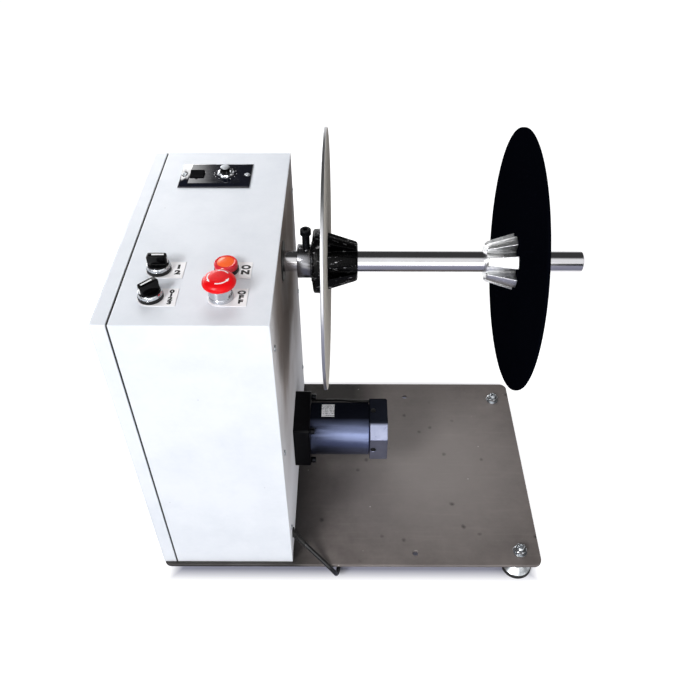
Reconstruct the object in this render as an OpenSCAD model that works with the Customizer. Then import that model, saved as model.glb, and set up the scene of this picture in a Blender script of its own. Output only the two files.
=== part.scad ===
// Coil rewinding machine: a motor-driven spindle with two sliding reels, on a cabinet and a base plate.
// Millimetres. +X runs along the spindle to its free end, +Y away from the operator, +Z up.
// The origin lies on the floor, under the middle of the machine.

/* [Base] */
// Length of the base plate
plate_l = 600; // [540:5:700]
// Depth of the base plate
plate_d = 396; // [392:2:460]
// Thickness of the base plate
plate_t = 6; // [4:0.5:12]
// Corner radius of the base plate
plate_corner_r = 12; // [4:1:20]
// Clear height under the base plate
foot_gap = 38; // [34:1:60]
// Diameter of a foot pad
foot_pad_d = 48; // [36:1:50]
// Height of a foot pad
foot_pad_h = 16; // [12:1:20]
// Thread size of a foot stud
foot_stud_d = 10; // [8:1:12]
// Distance of the feet from the ends of the plate
foot_end_inset = 32; // [26:1:50]
// Distance of the front feet from the plate's front edge
foot_front_inset = 25; // [25:1:50]
// Distance of the back feet from the plate's back edge
foot_back_inset = 42; // [25:1:60]
// Distance of the foot under the cabinet's front from the plate's front edge
foot_cabinet_inset = 66; // [25:1:90]
// Diameter of the two anchor holes
anchor_d = 9; // [6:0.5:12]
// Distance between the anchor holes
anchor_spacing = 340; // [280:5:350]
// Distance of the front anchor hole from the plate's front edge
anchor_front_inset = 22; // [14:1:40]
// Distance of the anchor holes from the plate's free end
anchor_end_inset = 200; // [120:5:220]

/* [Cabinet] */
// Width of the cabinet with its left cover
cabinet_w = 204; // [190:1:240]
// Depth of the cabinet
cabinet_d = 390; // [370:2:392]
// Height of the cabinet above the base plate
cabinet_h = 502; // [480:2:560]
// Width of the left cover
cover_w = 19.5; // [14:0.5:24]
// Width of the seam beside the left cover
seam_w = 2.5; // [1:0.5:3]
// Thickness of the casing's sheet
sheet_t = 2; // [1.5:0.5:3]
// Thickness of the drive-side plate
side_t = 5; // [5:0.5:8]
// Width of the casing's folded flanges
flange_w = 28; // [26:1:34]
// Gap between sheets that slide over each other
sheet_gap = 0.3; // [0.2:0.1:0.5]
// Leg of the angle at the foot of the side plate
angle_leg = 30; // [26:1:36]
// Thickness of that angle
angle_t = 4; // [3:0.5:6]

/* [Spindle] */
// Diameter of the spindle shaft
shaft_d = 28; // [24:1:32]
// Distance the shaft reaches out of the cabinet
shaft_reach = 400; // [397:1:440]
// Distance of the spindle below the cabinet's top
spindle_drop = 46; // [46:1:70]
// Distance of the spindle and motor from the cabinet's front
axis_from_front = 182; // [170:1:200]
// Diameter of the hole that the shaft leaves by
shaft_hole_d = 50; // [44:1:54]
// Outer diameter of a bearing's inner ring
ring_d = 38; // [36:1:42]
// Length of a bearing's inner ring
ring_l = 32; // [30:1:36]
// Diameter of the ears of a bearing housing
housing_ear_d = 30; // [26:1:34]
// Thickness of the housing's flange
housing_flange_t = 12; // [10:1:14]
// Diameter of the housing's boss
housing_boss_d = 66; // [58:1:70]
// Depth of the whole housing
housing_l = 28; // [24:1:30]
// Spacing of the housing's bolts
housing_bolt_pitch = 99; // [96:1:110]
// Length of the spacer bars
bar_l = 90; // [84:1:100]
// Diameter of the spacer bars
bar_d = 16; // [14:1:20]
// Thickness of the inner bearing plate
inner_plate_t = 6; // [5:0.5:10]

/* [Reels] */
// Diameter of the reel discs
disc_d = 345; // [300:5:360]
// Thickness of the reel discs
disc_t = 4; // [2:0.5:6]
// Distance from the cabinet to the inner hub
hub_gap = 20; // [17:1:24]
// Diameter of a hub
hub_d = 45; // [42:1:56]
// Length of a hub in front of its flange
hub_l = 18.5; // [16:0.5:20]
// Diameter of the hub's spigot through the flange and the disc
spigot_d = 36; // [34:1:38]
// Diameter of a backing flange
backing_d = 86; // [80:1:100]
// Thickness of a backing flange
backing_t = 18; // [10:0.5:22]
// Length of a ribbed cone
cone_l = 39.5; // [34:0.5:48]
// Diameter of a cone's large end
cone_big_d = 76; // [70:1:84]
// Diameter of a cone's small end
cone_small_d = 45; // [42:1:50]
// Diameter of a cone's shoulder, just before its small end
cone_shoulder_d = 54; // [51:1:60]
// Diameter of the cone's core between its ribs
cone_core_d = 44; // [42:1:50]
// Number of ribs
cone_ribs = 7; // [5:1:9]
// Angle that a rib takes up round the cone
rib_angle = 27; // [24:1:32]
// Distance from the cabinet to the outer disc's inner face
outer_disc_at = 308.5; // [290:0.5:320]
// Thread size of a clamp screw
clamp_d = 10; // [6:1:10]
// Diameter of a clamp screw's head
clamp_head_d = 14.5; // [12:0.5:16]
// Height of a clamp screw's head
clamp_head_h = 8; // [6:0.5:10]
// Height of a clamp screw's top above the spindle axis
clamp_top = 51; // [48:1:60]

/* [Drive] */
// Diameter of the spindle pulley
spindle_pulley_d = 70; // [60:1:74]
// Diameter of the motor pulley
motor_pulley_d = 35; // [30:1:50]
// Width of the belt
belt_w = 12; // [10:1:14]
// Thickness of the belt
belt_t = 4; // [3:0.5:5]
// Thickness of a pulley's side flanges
pulley_lip_t = 2; // [1.5:0.5:3]
// Height of a pulley's side flanges
pulley_lip_h = 3; // [2:0.5:4]
// Height of the motor above the base plate
motor_h = 111; // [105:1:130]
// Side of the square gear case
case_w = 90; // [86:1:100]
// Length of the gear case
case_l = 26; // [24:1:34]
// Wall of the gear case
case_wall = 4; // [3:0.5:5]
// Spacing of the gear case's corner bolts
case_bolt_pitch = 73.5; // [70:0.5:76]
// Thread size of the corner bolts
case_bolt_d = 6; // [5:1:8]
// Diameter of the motor body
motor_d = 86; // [80:1:90]
// Length of the motor body
motor_l = 95; // [80:1:120]
// Wall of the motor body, with its magnets
motor_wall = 10; // [6:0.5:14]
// Side of the motor's end cap
cap_w = 90; // [86:1:100]
// Length of the motor's end cap
cap_l = 30; // [24:1:40]
// Chamfer along the end cap's edges
cap_chamfer = 21; // [16:1:26]
// Module of the gears
gear_module = 0.6; // [0.5:0.1:0.6]
// Teeth of the armature's pinion
pinion_teeth = 12; // [10:1:14]
// Teeth of the output gear
gear_teeth = 48; // [40:1:54]
// Diameter of the output shaft
output_d = 12; // [10:1:14]
// Diameter of the armature's shaft at the end cap
armature_d = 10; // [8:1:12]

/* [Controls] */
// Diameter of a control's barrel
barrel_d = 22; // [20:1:24]
// Diameter of a control's bezel
bezel_d = 29; // [27:1:32]
// Thickness of a label plate
label_t = 1; // [0.5:0.5:2]
// Width of a label plate
label_w = 32; // [30:1:36]
// Distance from a control to the end of its label plate
label_reach = 30.5; // [26:0.5:34]
// Distance of the selectors from the drive-side face
selector_from_side = 142; // [130:1:145]
// Distance of the lamp and the stop button from the drive-side face
lamp_from_side = 60; // [50:1:75]
// Distance of the front row of controls from the cabinet's front
front_row = 49; // [40:1:52]
// Distance of the back row of controls from the cabinet's front
back_row = 101; // [96:1:120]
// Diameter of the stop button's mushroom head
mushroom_d = 40; // [36:1:44]
// Travel of the stop button
stop_travel = 5; // [3:0.5:6]
// Length of the speed controller
controller_l = 101; // [96:1:110]
// Width of the speed controller
controller_w = 63; // [58:1:70]
// Height of the speed controller above the panel
controller_h = 4.5; // [4:0.5:8]
// Distance of the speed controller's middle from the drive-side face
controller_from_side = 102; // [90:1:110]
// Distance of the speed controller's middle from the cabinet's front
controller_from_front = 320.5; // [300:0.5:330]
// Diameter of the speed knob's skirt
knob_skirt_d = 25; // [20:0.5:28]
// Diameter of the speed knob's grip
knob_grip_d = 13; // [12:0.5:16]

/* [Supply] */
// Diameter of the mains lead
cord_d = 7; // [7:0.5:8]
// Turns in each layer of the stored coil
coil_turns = 3; // [2:1:4]
// Outer radius of the coil, to the lead's middle
coil_r = 50; // [46:1:56]
// Distance between neighbouring turns
coil_pitch = 7.8; // [7.5:0.1:9]

/* [Hidden] */
$fn = 96;

// Clearances and small sizes that many pieces share
slip = 0.05;
hole_gap = 0.25;
thread_gap = 0.1;
turn_gap = 0.3;
over = 1;
skin = 1.5;
tap_depth = side_t - skin;

// Metric fasteners: thread, head width and head height
m4 = 4;
m4_head_d = 8;
m4_head_h = 2.5;
m5 = 5;
m5_head_d = 8.5;
m5_head_h = 5;
m6 = 6;
m6_head_d = 10;
m6_head_h = 6;
m8 = 8;
m8_head_d = 13;
m8_head_h = 8;

// Places along X, from the cabinet's left side to the shaft's free end
machine_l = m4_head_h + cabinet_w + max(shaft_reach, plate_l - cabinet_w);
x_left = m4_head_h - machine_l / 2;
x_casing = x_left + cover_w + seam_w;
x_face = x_left + cabinet_w;
x_inside = x_face - side_t;
x_bars = x_inside - bar_l;
x_far = x_bars - inner_plate_t;

// Places along Y and Z
y_edge = -plate_d / 2;
y_back = plate_d / 2;
y_front = y_back - cabinet_d;
y_axis = y_front + axis_from_front;
z_plate = foot_gap + plate_t;
z_top = z_plate + cabinet_h;
z_axis = z_top - spindle_drop;
z_motor = z_plate + motor_h;

// Rows of fixing screws on the cabinet
side_screw_inset = 20;
side_screw_heights = [67, cabinet_h / 2, cabinet_h - 53];
spare_hole_h = cabinet_h - 24;
cover_screw_inset = sheet_t + flange_w / 2;
cover_screw_heights = [60, cabinet_h / 2, cabinet_h - 60];
base_bolt_inset = sheet_t + flange_w / 2;
base_bolt_end = 30;
angle_bolt_end = 60;
cover_t = sheet_t - sheet_gap;
lip_overlap = 12;
angle_l = cabinet_d - 2 * sheet_t - 2 * flange_w - 10;

// Bearings, bars and pulleys
housing_half = housing_bolt_pitch / 2 + housing_ear_d / 2;
bar_y = housing_half + bar_d / 2 + 3;
bar_zs = [-18, -70];
bar_edge = 6;
pulley_side_gap = 0.5;
pulley_w = belt_w + 2 * pulley_side_gap + 2 * pulley_lip_t;
pulley_setback = 3;
belt_steps = 40;
x_pulley = x_inside - housing_l - pulley_setback - pulley_w;
shaft_tail = 6;
x_shaft = x_far - housing_l - shaft_tail;
shaft_chamfer = 1.5;

// Gear stage: the output shaft sits above the motor's axis by the gears' centre distance
output_offset = gear_module * (pinion_teeth + gear_teeth) / 2;
z_output = z_motor + output_offset;
tooth_add = 0.8 * gear_module;
tooth_ded = 1.25 * gear_module;
gear_r = gear_module * gear_teeth / 2;
gear_cavity_r = output_offset + gear_r + tooth_add + 2;
gear_w = 10;
gear_side_gap = 2;
bush_t = 3;
pilot_wall = 4;
pilot_d = output_d + 2 * bush_t + 2 * pilot_wall;
case_corner_r = 5;
case_bolt_head_d = 10;
case_bolt_head_h = 8;
front_plate_t = 6;
air_gap = 1;
groove_w = 1.5;
groove_depth = 3;
cap_wall = 8;
brush_cap_d = 8;
brush_cap_at = 7;
brush_cap_l = 6;
x_motor = x_face + case_l;
x_cap = x_motor + motor_l;
motor_bore_d = motor_d - 2 * motor_wall;

// Reels, from the hub's free end towards the cone
u_backing = hub_l;
u_disc = u_backing + backing_t;
u_cone = u_disc + disc_t;
x_outer_end = x_face + outer_disc_at + u_cone;
backing_dish = 2.5;
backing_round = 2;
shoulder_l = 4;
clamp_at = 12;
tip_t = 2;
tip_gap = 0.1;
rib_turn = 4.4;
reel_screw_r = (spigot_d + cone_big_d) / 4;
reel_screw_bite = 9;
reel_head_sink = m5_head_h + 0.5;

// Controls on the cabinet's top
x_selectors = x_face - selector_from_side;
x_lamp = x_face - lamp_from_side;
y_row_1 = y_front + front_row;
y_row_2 = y_front + back_row;
control_places = [[x_selectors, y_row_1], [x_selectors, y_row_2], [x_lamp, y_row_1], [x_lamp, y_row_2]];
front_selector_turn = 45;
gasket_h = 3.5;
bezel_h = 6;
bezel_rim = 2.5;
barrel_l = 24;
block_w = 26;
block_h = 28;
stem_d = 8;
handle_d = bezel_d - 2 * bezel_rim - 2 * turn_gap;
handle_h = 19;
ridge_w = 9;
ridge_l = bezel_d - bezel_rim;
lamp_base_h = 5;
lens_d = 28.5;
lens_h = 8;
lens_edge = 2.5;
collar_h = 17;
collar_d = 28;
stop_gap = 2;
mushroom_h = 12;
mushroom_wall = 4;
ring_nut_d = 30;
ring_nut_h = 5;

// Speed controller: knob and rocker, from the controller's middle
x_controller = x_face - controller_from_side;
y_controller = y_front + controller_from_front;
controller_bevel_end = 14;
controller_bevel_side = 6;
controller_lip = 2;
controller_can_l = 78;
controller_can_w = 46;
controller_can_h = 50;
controller_screw_at = 44.5;
knob_at = [14, 0];
knob_skirt_h = 3;
knob_h = 11.5;
knob_stem_d = 6;
knob_stem_l = 5;
rocker_at = [-26, -2.5];
rocker_l = 20;
rocker_w = 15;
rocker_h = 6;
rocker_proud = 3;
rocker_tilt = 12;
rocker_pin_d = 2;

// Strain relief: a round flange on the side plate and a tapered tail along the lead's first direction
boot_at = [x_face, -163, 83];
boot_flange_d = 16;
boot_flange_h = 3;
boot_tail_d = 11;
boot_hole_d = 9;

// Route of the mains lead, from the strain relief over the plate's edge and back under the plate
cord_points = [
    [-77.7, -176.1, 71.2], [-68.8, -182.2, 65.7], [-59.9, -188.3, 60.2], [-51, -194.4, 54.7],
    [-46.6, -197.4, 52], [-42.3, -200.2, 48.8], [-38.2, -202.2, 44.8], [-34.7, -203.3, 40],
    [-31.9, -203.5, 34.7], [-29.8, -202.7, 29.1], [-28.7, -201.1, 23.4], [-27.9, -198.6, 17.9],
    [-27.1, -195.1, 13.1], [-26.3, -190.7, 9.1], [-25.4, -185.5, 6.1], [-24.6, -179.9, 4.2],
    [-23.8, -173.9, 3.6], [-22.8, -161, 3.6], [-22.2, -147, 3.6], [-22, -131, 3.6],
    [-22, -114, 3.6], [-22, -97, 3.6]
];
cord_sides = 10;
coil_sides = 6;
coil_rings = 24;
coil_centre = [-72, -90];
coil_z = 3.6;
coil_lead_in = 7;
coil_lead_out = 14;
plug_tail_l = 26;
plug_tail_d = 12;
plug_body_d = 21;
plug_body_l = 34;
plug_pin_d = 4.8;
plug_pin_l = 19;
plug_pin_gap = 12;
plug_taper_l = 14;

// Route of the motor's lead, from its end cap to the side plate, as offsets from the motor's axis
lead_d = 4.5;
lead_start = [31, 33];
lead_end = [56, 8];
lead_inside = 12;
grommet_d = 13;
grommet_h = 3;
grommet_hole_d = 9;

// Shared shapes

module along_x(x0, x1, d) {
    translate([x0, 0, 0]) rotate([0, 90, 0]) cylinder(h = x1 - x0, d = d);
}

module box(low, high) {
    translate(low) cube(high - low);
}

module rounded_rect(l, w, r) {
    translate([r, 0]) square([l - 2 * r, w]);
    translate([0, r]) square([l, w - 2 * r]);
    for (x = [r, l - r], y = [r, w - r]) translate([x, y]) circle(r);
}

// A screw that stands on its head's seat at z = 0, with its shank below
module cap_screw(d, l, head_d, head_h) {
    difference() {
        union() {
            translate([0, 0, -l]) cylinder(h = l + head_h / 2, d = d);
            cylinder(h = head_h, d = head_d);
        }
        translate([0, 0, head_h / 2]) cylinder(h = head_h, d = head_d * 0.55, $fn = 6);
    }
}

module pan_screw(d, l, head_d, head_h) {
    difference() {
        union() {
            translate([0, 0, -l]) cylinder(h = l + head_h / 2, d = d);
            cylinder(h = head_h * 0.6, d = head_d);
            translate([0, 0, head_h * 0.6]) cylinder(h = head_h * 0.4, d1 = head_d, d2 = head_d * 0.7);
        }
        for (a = [0, 90]) rotate(a) translate([-head_d / 4, -0.5, head_h - 1]) cube([head_d / 2, 1, 2]);
    }
}

module hex_nut(across, h, bore_d) {
    difference() {
        cylinder(h = h, d = across / cos(30), $fn = 6);
        translate([0, 0, -over]) cylinder(h = h + 2 * over, d = bore_d);
    }
}

module washer(d, bore_d, h) {
    difference() {
        cylinder(h = h, d = d);
        translate([0, 0, -over]) cylinder(h = h + 2 * over, d = bore_d);
    }
}

module face_right() {
    rotate([0, 90, 0]) children();
}

module face_left() {
    rotate([0, -90, 0]) children();
}

// Sweeps a round section along points; the route never stands upright
function unit(v) = v / norm(v);
function tangent(p, i) = unit(p[min(i + 1, len(p) - 1)] - p[max(i - 1, 0)]);
function ring_of(p, t, r, n) =
    let (side = unit(cross(t, [0, 0, 1])), up = cross(side, t))
    [for (k = [0 : n - 1]) p + r * cos(360 * k / n) * side + r * sin(360 * k / n) * up];
function route_length(p) = len(p) < 2 ? 0 : lengths_sum([for (i = [1 : len(p) - 1]) norm(p[i] - p[i - 1])]);
function lengths_sum(v, i = 0) = i >= len(v) ? 0 : v[i] + lengths_sum(v, i + 1);

module swept_tube(p, d, n, first_t, last_t) {
    m = len(p);
    rings = [for (i = [0 : m - 1])
        ring_of(p[i], i == 0 ? first_t : i == m - 1 ? last_t : tangent(p, i), d / 2, n)];
    points = concat([for (r = rings, q = r) q], [p[0], p[m - 1]]);
    sides = [for (i = [0 : m - 2], k = [0 : n - 1], half = [0, 1])
        let (a = i * n + k, b = i * n + (k + 1) % n)
        half == 0 ? [a, a + n, b] : [b, a + n, b + n]];
    first_cap = [for (k = [0 : n - 1]) [m * n, k, (k + 1) % n]];
    last_cap = [for (k = [0 : n - 1]) [m * n + 1, (m - 1) * n + (k + 1) % n, (m - 1) * n + k]];
    polyhedron(points, concat(sides, first_cap, last_cap));
}

// Base: plate and levelling feet

function foot_places() = [
    [x_left + foot_end_inset, y_edge + foot_cabinet_inset],
    [x_left + foot_end_inset, y_back - foot_back_inset],
    [x_left + plate_l - foot_end_inset, y_edge + foot_front_inset],
    [x_left + plate_l - foot_end_inset, y_back - foot_back_inset]];
function anchor_places() = [
    for (i = [0, 1]) [x_left + plate_l - anchor_end_inset, y_edge + anchor_front_inset + i * anchor_spacing]];
function base_bolt_places() = [
    for (x = [x_casing + base_bolt_end, x_inside - sheet_t - base_bolt_end],
         y = [y_front + base_bolt_inset, y_back - base_bolt_inset]) [x, y]];
function angle_bolt_rows() = [for (i = [-1, 0, 1]) (y_front + y_back) / 2 + i * (angle_l / 2 - angle_bolt_end)];
angle_bolt_in = angle_t + (angle_leg - angle_t) / 2;
foot_washer_d = 22;
foot_washer_t = 2;
foot_nut_across = foot_stud_d * 1.7;
foot_nut_h = foot_stud_d * 0.8;
foot_stud_up = foot_washer_t + foot_nut_h + 5;
foot_stud_sink = 8;
foot_socket_h = 4;
foot_neck_d = 24;
foot_rim_h = 7;

module base_plate() {
    color("#66625f") difference() {
        translate([x_left, y_edge, foot_gap])
            linear_extrude(plate_t) rounded_rect(plate_l, plate_d, plate_corner_r);
        for (p = foot_places()) plate_hole(p, foot_stud_d + 2 * hole_gap);
        for (p = anchor_places()) plate_hole(p, anchor_d);
        for (p = base_bolt_places()) plate_hole(p, m6 + 2 * thread_gap);
        for (y = angle_bolt_rows()) plate_hole([x_inside - angle_bolt_in, y], m6 + 2 * thread_gap);
    }
}

module plate_hole(p, d) {
    translate([p[0], p[1], foot_gap - over]) cylinder(h = plate_t + 2 * over, d = d);
}

module foot_pads() {
    color("#3a3a3a") for (p = foot_places()) translate([p[0], p[1], 0]) difference() {
        rotate_extrude() polygon([
            [0, 0], [foot_pad_d / 2 - 1, 0], [foot_pad_d / 2, 1], [foot_pad_d / 2, foot_rim_h],
            [foot_neck_d / 2, foot_pad_h], [0, foot_pad_h]]);
        translate([0, 0, foot_pad_h - foot_stud_sink])
            cylinder(h = foot_stud_sink + over, d = foot_stud_d + 2 * thread_gap);
    }
}

// Room above the plate for the nuts of the feet under the cabinet
module foot_room() {
    for (p = foot_places()) translate([p[0], p[1], z_plate - over])
        cylinder(h = foot_stud_up + 2 * over, d = foot_washer_d + 2 * over);
}

module foot_studs() {
    bottom = foot_pad_h - foot_stud_sink;
    top = z_plate + foot_stud_up;
    color("silver") for (p = foot_places()) translate([p[0], p[1], 0]) difference() {
        translate([0, 0, bottom]) cylinder(h = top - bottom, d = foot_stud_d);
        translate([0, 0, top - foot_socket_h]) cylinder(h = 2 * foot_socket_h, d = foot_stud_d * 0.55, $fn = 6);
    }
}

module foot_nuts() {
    bore_d = foot_stud_d + 2 * thread_gap;
    color("gainsboro") for (p = foot_places()) translate([p[0], p[1], 0]) {
        translate([0, 0, z_plate]) washer(foot_washer_d, bore_d, foot_washer_t);
        translate([0, 0, z_plate + foot_washer_t]) hex_nut(foot_nut_across, foot_nut_h, bore_d);
        translate([0, 0, foot_gap - foot_nut_h]) hex_nut(foot_nut_across, foot_nut_h, bore_d);
    }
}

// Cabinet

// A strip along the front, top and back walls, between two depths from the outside
module wall_strip(x0, x1, out, in) {
    difference() {
        box([x0, y_front + out, z_plate], [x1, y_back - out, z_top - out]);
        box([x0 - over, y_front + in, z_plate - over], [x1 + over, y_back - in, z_top - in]);
    }
}

module side_rows(heights, inset) {
    for (h = heights, y = [y_front + inset, y_back - inset]) translate([0, y, z_plate + h]) children();
}

module main_casing() {
    color("#d3d7dd") difference() {
        union() {
            wall_strip(x_casing, x_face, 0, sheet_t);
            wall_strip(x_left + cover_t, x_casing + lip_overlap, sheet_t, 2 * sheet_t);
            for (y = [y_front + sheet_t, y_back - sheet_t - flange_w]) {
                box([x_inside - sheet_t, y, z_plate], [x_inside, y + flange_w, z_top - sheet_t]);
                box([x_casing, y, z_plate], [x_inside, y + flange_w, z_plate + sheet_t]);
            }
        }
        foot_room();
        side_rows(side_screw_heights, side_screw_inset)
            along_x(x_inside - sheet_t - over, x_inside + over, m4 + 2 * thread_gap);
        for (p = base_bolt_places())
            translate([p[0], p[1], z_plate - over]) cylinder(h = sheet_t + 2 * over, d = m6 + 2 * hole_gap);
        for (p = control_places)
            translate([p[0], p[1], z_top - sheet_t - over])
                cylinder(h = sheet_t + 2 * over, d = barrel_d + 2 * hole_gap);
        translate([x_controller, y_controller, z_top - sheet_t / 2])
            cube([controller_can_l + 2 * turn_gap, controller_can_w + 2 * turn_gap, 2 * sheet_t], center = true);
        for (s = [-1, 1]) translate([x_controller + s * controller_screw_at, y_controller, z_top - sheet_t - over])
            cylinder(h = sheet_t + 2 * over, d = m4 + 2 * thread_gap);
    }
}

module cover_flange() {
    color("#d3d7dd") difference() {
        wall_strip(x_left + cover_t, x_left + cover_t + sheet_t, 2 * sheet_t + slip, sheet_t + flange_w);
        side_rows(cover_screw_heights, cover_screw_inset)
            along_x(x_left, x_left + cover_t + sheet_t + over, m4 + 2 * thread_gap);
    }
}

module side_plate() {
    edge = sheet_t + sheet_gap;
    color("#c5c7c9") difference() {
        box([x_inside, y_front + edge, z_plate], [x_face, y_back - edge, z_top - edge]);
        on_spindle() along_x(x_inside - over, x_face + over, shaft_hole_d);
        on_spindle() for (s = [-1, 1]) translate([0, s * housing_bolt_pitch / 2, 0])
            along_x(x_inside - over, x_inside + tap_depth, m8 + 2 * thread_gap);
        on_bars() along_x(x_inside - over, x_inside + tap_depth, m8 + 2 * thread_gap);
        on_output() along_x(x_inside - over, x_face + over, pilot_d + 2 * hole_gap);
        on_case_bolts() along_x(x_inside - over, x_face + over, case_bolt_d + 2 * thread_gap);
        side_rows(side_screw_heights, side_screw_inset)
            along_x(x_inside - over, x_face + over, m4 + 2 * hole_gap);
        side_rows([spare_hole_h], side_screw_inset) along_x(x_inside - over, x_face + over, m4 + 2 * hole_gap);
        for (y = angle_bolt_rows()) translate([0, y, z_plate + angle_bolt_in])
            along_x(x_inside - over, x_inside + tap_depth, m6 + 2 * thread_gap);
        translate([0, boot_at[1], boot_at[2]]) along_x(x_inside - over, x_face + over, boot_hole_d);
        at_lead_hole() along_x(x_inside - over, x_face + over, grommet_hole_d);
    }
}

module left_cover() {
    color("#d3d7dd") difference() {
        box([x_left, y_front, z_plate], [x_left + cover_w, y_back, z_top]);
        box([x_left + cover_t, y_front + cover_t, z_plate + cover_t],
            [x_left + cover_w + over, y_back - cover_t, z_top - cover_t]);
        for (y = [y_front + cover_t, y_back - 2 * sheet_t - flange_w])
            box([x_left + cover_t, y, z_plate - over],
                [x_left + cover_w + over, y + flange_w + 2 * sheet_t - cover_t, z_plate + cover_t + over]);
        side_rows(cover_screw_heights, cover_screw_inset)
            along_x(x_left - over, x_left + cover_t + over, m4 + 2 * hole_gap);
        foot_room();
    }
}

module base_angle() {
    y0 = (y_front + y_back - angle_l) / 2;
    color("dimgray") difference() {
        union() {
            box([x_inside - angle_leg, y0, z_plate], [x_inside, y0 + angle_l, z_plate + angle_t]);
            box([x_inside - angle_t, y0, z_plate], [x_inside, y0 + angle_l, z_plate + angle_leg]);
        }
        for (y = angle_bolt_rows()) {
            translate([x_inside - angle_bolt_in, y, z_plate - over])
                cylinder(h = angle_t + 2 * over, d = m6 + 2 * hole_gap);
            translate([0, y, z_plate + angle_bolt_in])
                along_x(x_inside - angle_t - over, x_inside + over, m6 + 2 * hole_gap);
        }
    }
}

module panel_screws() {
    color("silver") {
        side_rows(side_screw_heights, side_screw_inset)
            translate([x_face, 0, 0]) face_right() pan_screw(m4, side_t + sheet_t, m4_head_d, m4_head_h);
        side_rows(cover_screw_heights, cover_screw_inset)
            translate([x_left, 0, 0]) face_left() pan_screw(m4, cover_t + sheet_t, m4_head_d, m4_head_h);
        for (s = [-1, 1]) translate([x_controller + s * controller_screw_at, y_controller, z_top + controller_lip])
            pan_screw(m4, controller_lip + sheet_t, m4_head_d, m4_head_h);
    }
}

module frame_bolts() {
    color("#17181a") {
        on_spindle() for (s = [-1, 1]) translate([0, s * housing_bolt_pitch / 2, 0]) {
            translate([x_inside - housing_flange_t, 0, 0]) face_left()
                cap_screw(m8, housing_flange_t + tap_depth - over, m8_head_d, m8_head_h);
            translate([x_far - housing_flange_t, 0, 0]) face_left()
                cap_screw(m8, housing_flange_t + inner_plate_t, m8_head_d, m8_head_h);
        }
        on_bars() translate([x_far, 0, 0]) face_left() cap_screw(m8, inner_plate_t + bar_tap, m8_head_d, m8_head_h);
        for (y = angle_bolt_rows()) {
            translate([x_inside - angle_bolt_in, y, z_plate + angle_t])
                cap_screw(m6, angle_t + plate_t, m6_head_d, m6_head_h);
            translate([x_inside - angle_t, y, z_plate + angle_bolt_in]) face_left()
                cap_screw(m6, angle_t + tap_depth - over, m6_head_d, m6_head_h);
        }
        for (p = base_bolt_places()) translate([p[0], p[1], z_plate + sheet_t])
            cap_screw(m6, sheet_t + plate_t, m6_head_d, m6_head_h);
        on_case_bolts() translate([x_motor, 0, 0]) face_right()
            cap_screw(case_bolt_d, case_l + side_t, case_bolt_head_d, case_bolt_head_h);
    }
}

// Spindle and its bearings
bar_tap = 14;
bar_spigot = tap_depth - over;

module on_spindle() {
    translate([0, y_axis, z_axis]) children();
}

module on_bars() {
    for (y = [-bar_y, bar_y], z = bar_zs) translate([0, y_axis + y, z_axis + z]) children();
}

module inner_plate() {
    half_y = bar_y + bar_d / 2 + bar_edge;
    low = min(bar_zs) - bar_d / 2 - bar_edge;
    high = housing_boss_d / 2 + bar_edge;
    color("slategray") difference() {
        box([x_far, y_axis - half_y, z_axis + low], [x_bars, y_axis + half_y, z_axis + high]);
        on_spindle() along_x(x_far - over, x_bars + over, shaft_hole_d);
        on_spindle() for (s = [-1, 1]) translate([0, s * housing_bolt_pitch / 2, 0])
            along_x(x_far - over, x_bars + over, m8 + 2 * thread_gap);
        on_bars() along_x(x_far - over, x_bars + over, m8 + 2 * hole_gap);
    }
}

module spacer_bars() {
    color("darkgray") on_bars() difference() {
        union() {
            along_x(x_bars, x_inside, bar_d);
            along_x(x_inside - over, x_inside + bar_spigot, m8);
        }
        along_x(x_bars - over, x_bars + bar_tap + over, m8 + 2 * thread_gap);
    }
}

module spindle_shaft() {
    r = shaft_d / 2;
    l = x_face + shaft_reach - x_shaft;
    color("#c9ccd0") on_spindle() translate([x_shaft, 0, 0]) rotate([0, 90, 0]) rotate_extrude() polygon([
        [0, 0], [r - shaft_chamfer, 0], [r, shaft_chamfer],
        [r, l - shaft_chamfer], [r - shaft_chamfer, l], [0, l]]);
}

module bearing_housings() {
    color("#7d848a") on_spindle() for (x = [x_inside, x_far]) difference() {
        union() {
            along_x(x - housing_l, x, housing_boss_d);
            box([x - housing_flange_t, -housing_bolt_pitch / 2, -housing_ear_d / 2],
                [x, housing_bolt_pitch / 2, housing_ear_d / 2]);
            for (s = [-1, 1]) translate([0, s * housing_bolt_pitch / 2, 0])
                along_x(x - housing_flange_t, x, housing_ear_d);
        }
        along_x(x - housing_l - over, x + over, ring_d + 2 * slip);
        for (s = [-1, 1]) translate([0, s * housing_bolt_pitch / 2, 0])
            along_x(x - housing_flange_t - over, x + over, m8 + 2 * hole_gap);
    }
}

module bearing_rings() {
    color("lightsteelblue") on_spindle() for (x = [x_inside, x_far]) difference() {
        along_x(x - (housing_l + ring_l) / 2, x - (housing_l - ring_l) / 2, ring_d);
        along_x(x - housing_l - ring_l, x + ring_l, shaft_d + 2 * slip);
    }
}

// Belt drive

module pulley(d, bore_d) {
    rim = pulley_lip_t;
    difference() {
        union() {
            along_x(0, pulley_w, d);
            for (x = [0, pulley_w - rim]) along_x(x, x + rim, d + 2 * pulley_lip_h);
        }
        along_x(-over, pulley_w + over, bore_d);
    }
}

module spindle_pulley() {
    color("#8d9296") on_spindle() translate([x_pulley, 0, 0]) pulley(spindle_pulley_d, shaft_d + 2 * slip);
}

module motor_pulley() {
    color("#8d9296") on_output() translate([x_pulley, 0, 0]) pulley(motor_pulley_d, output_d + 2 * slip);
}

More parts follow.
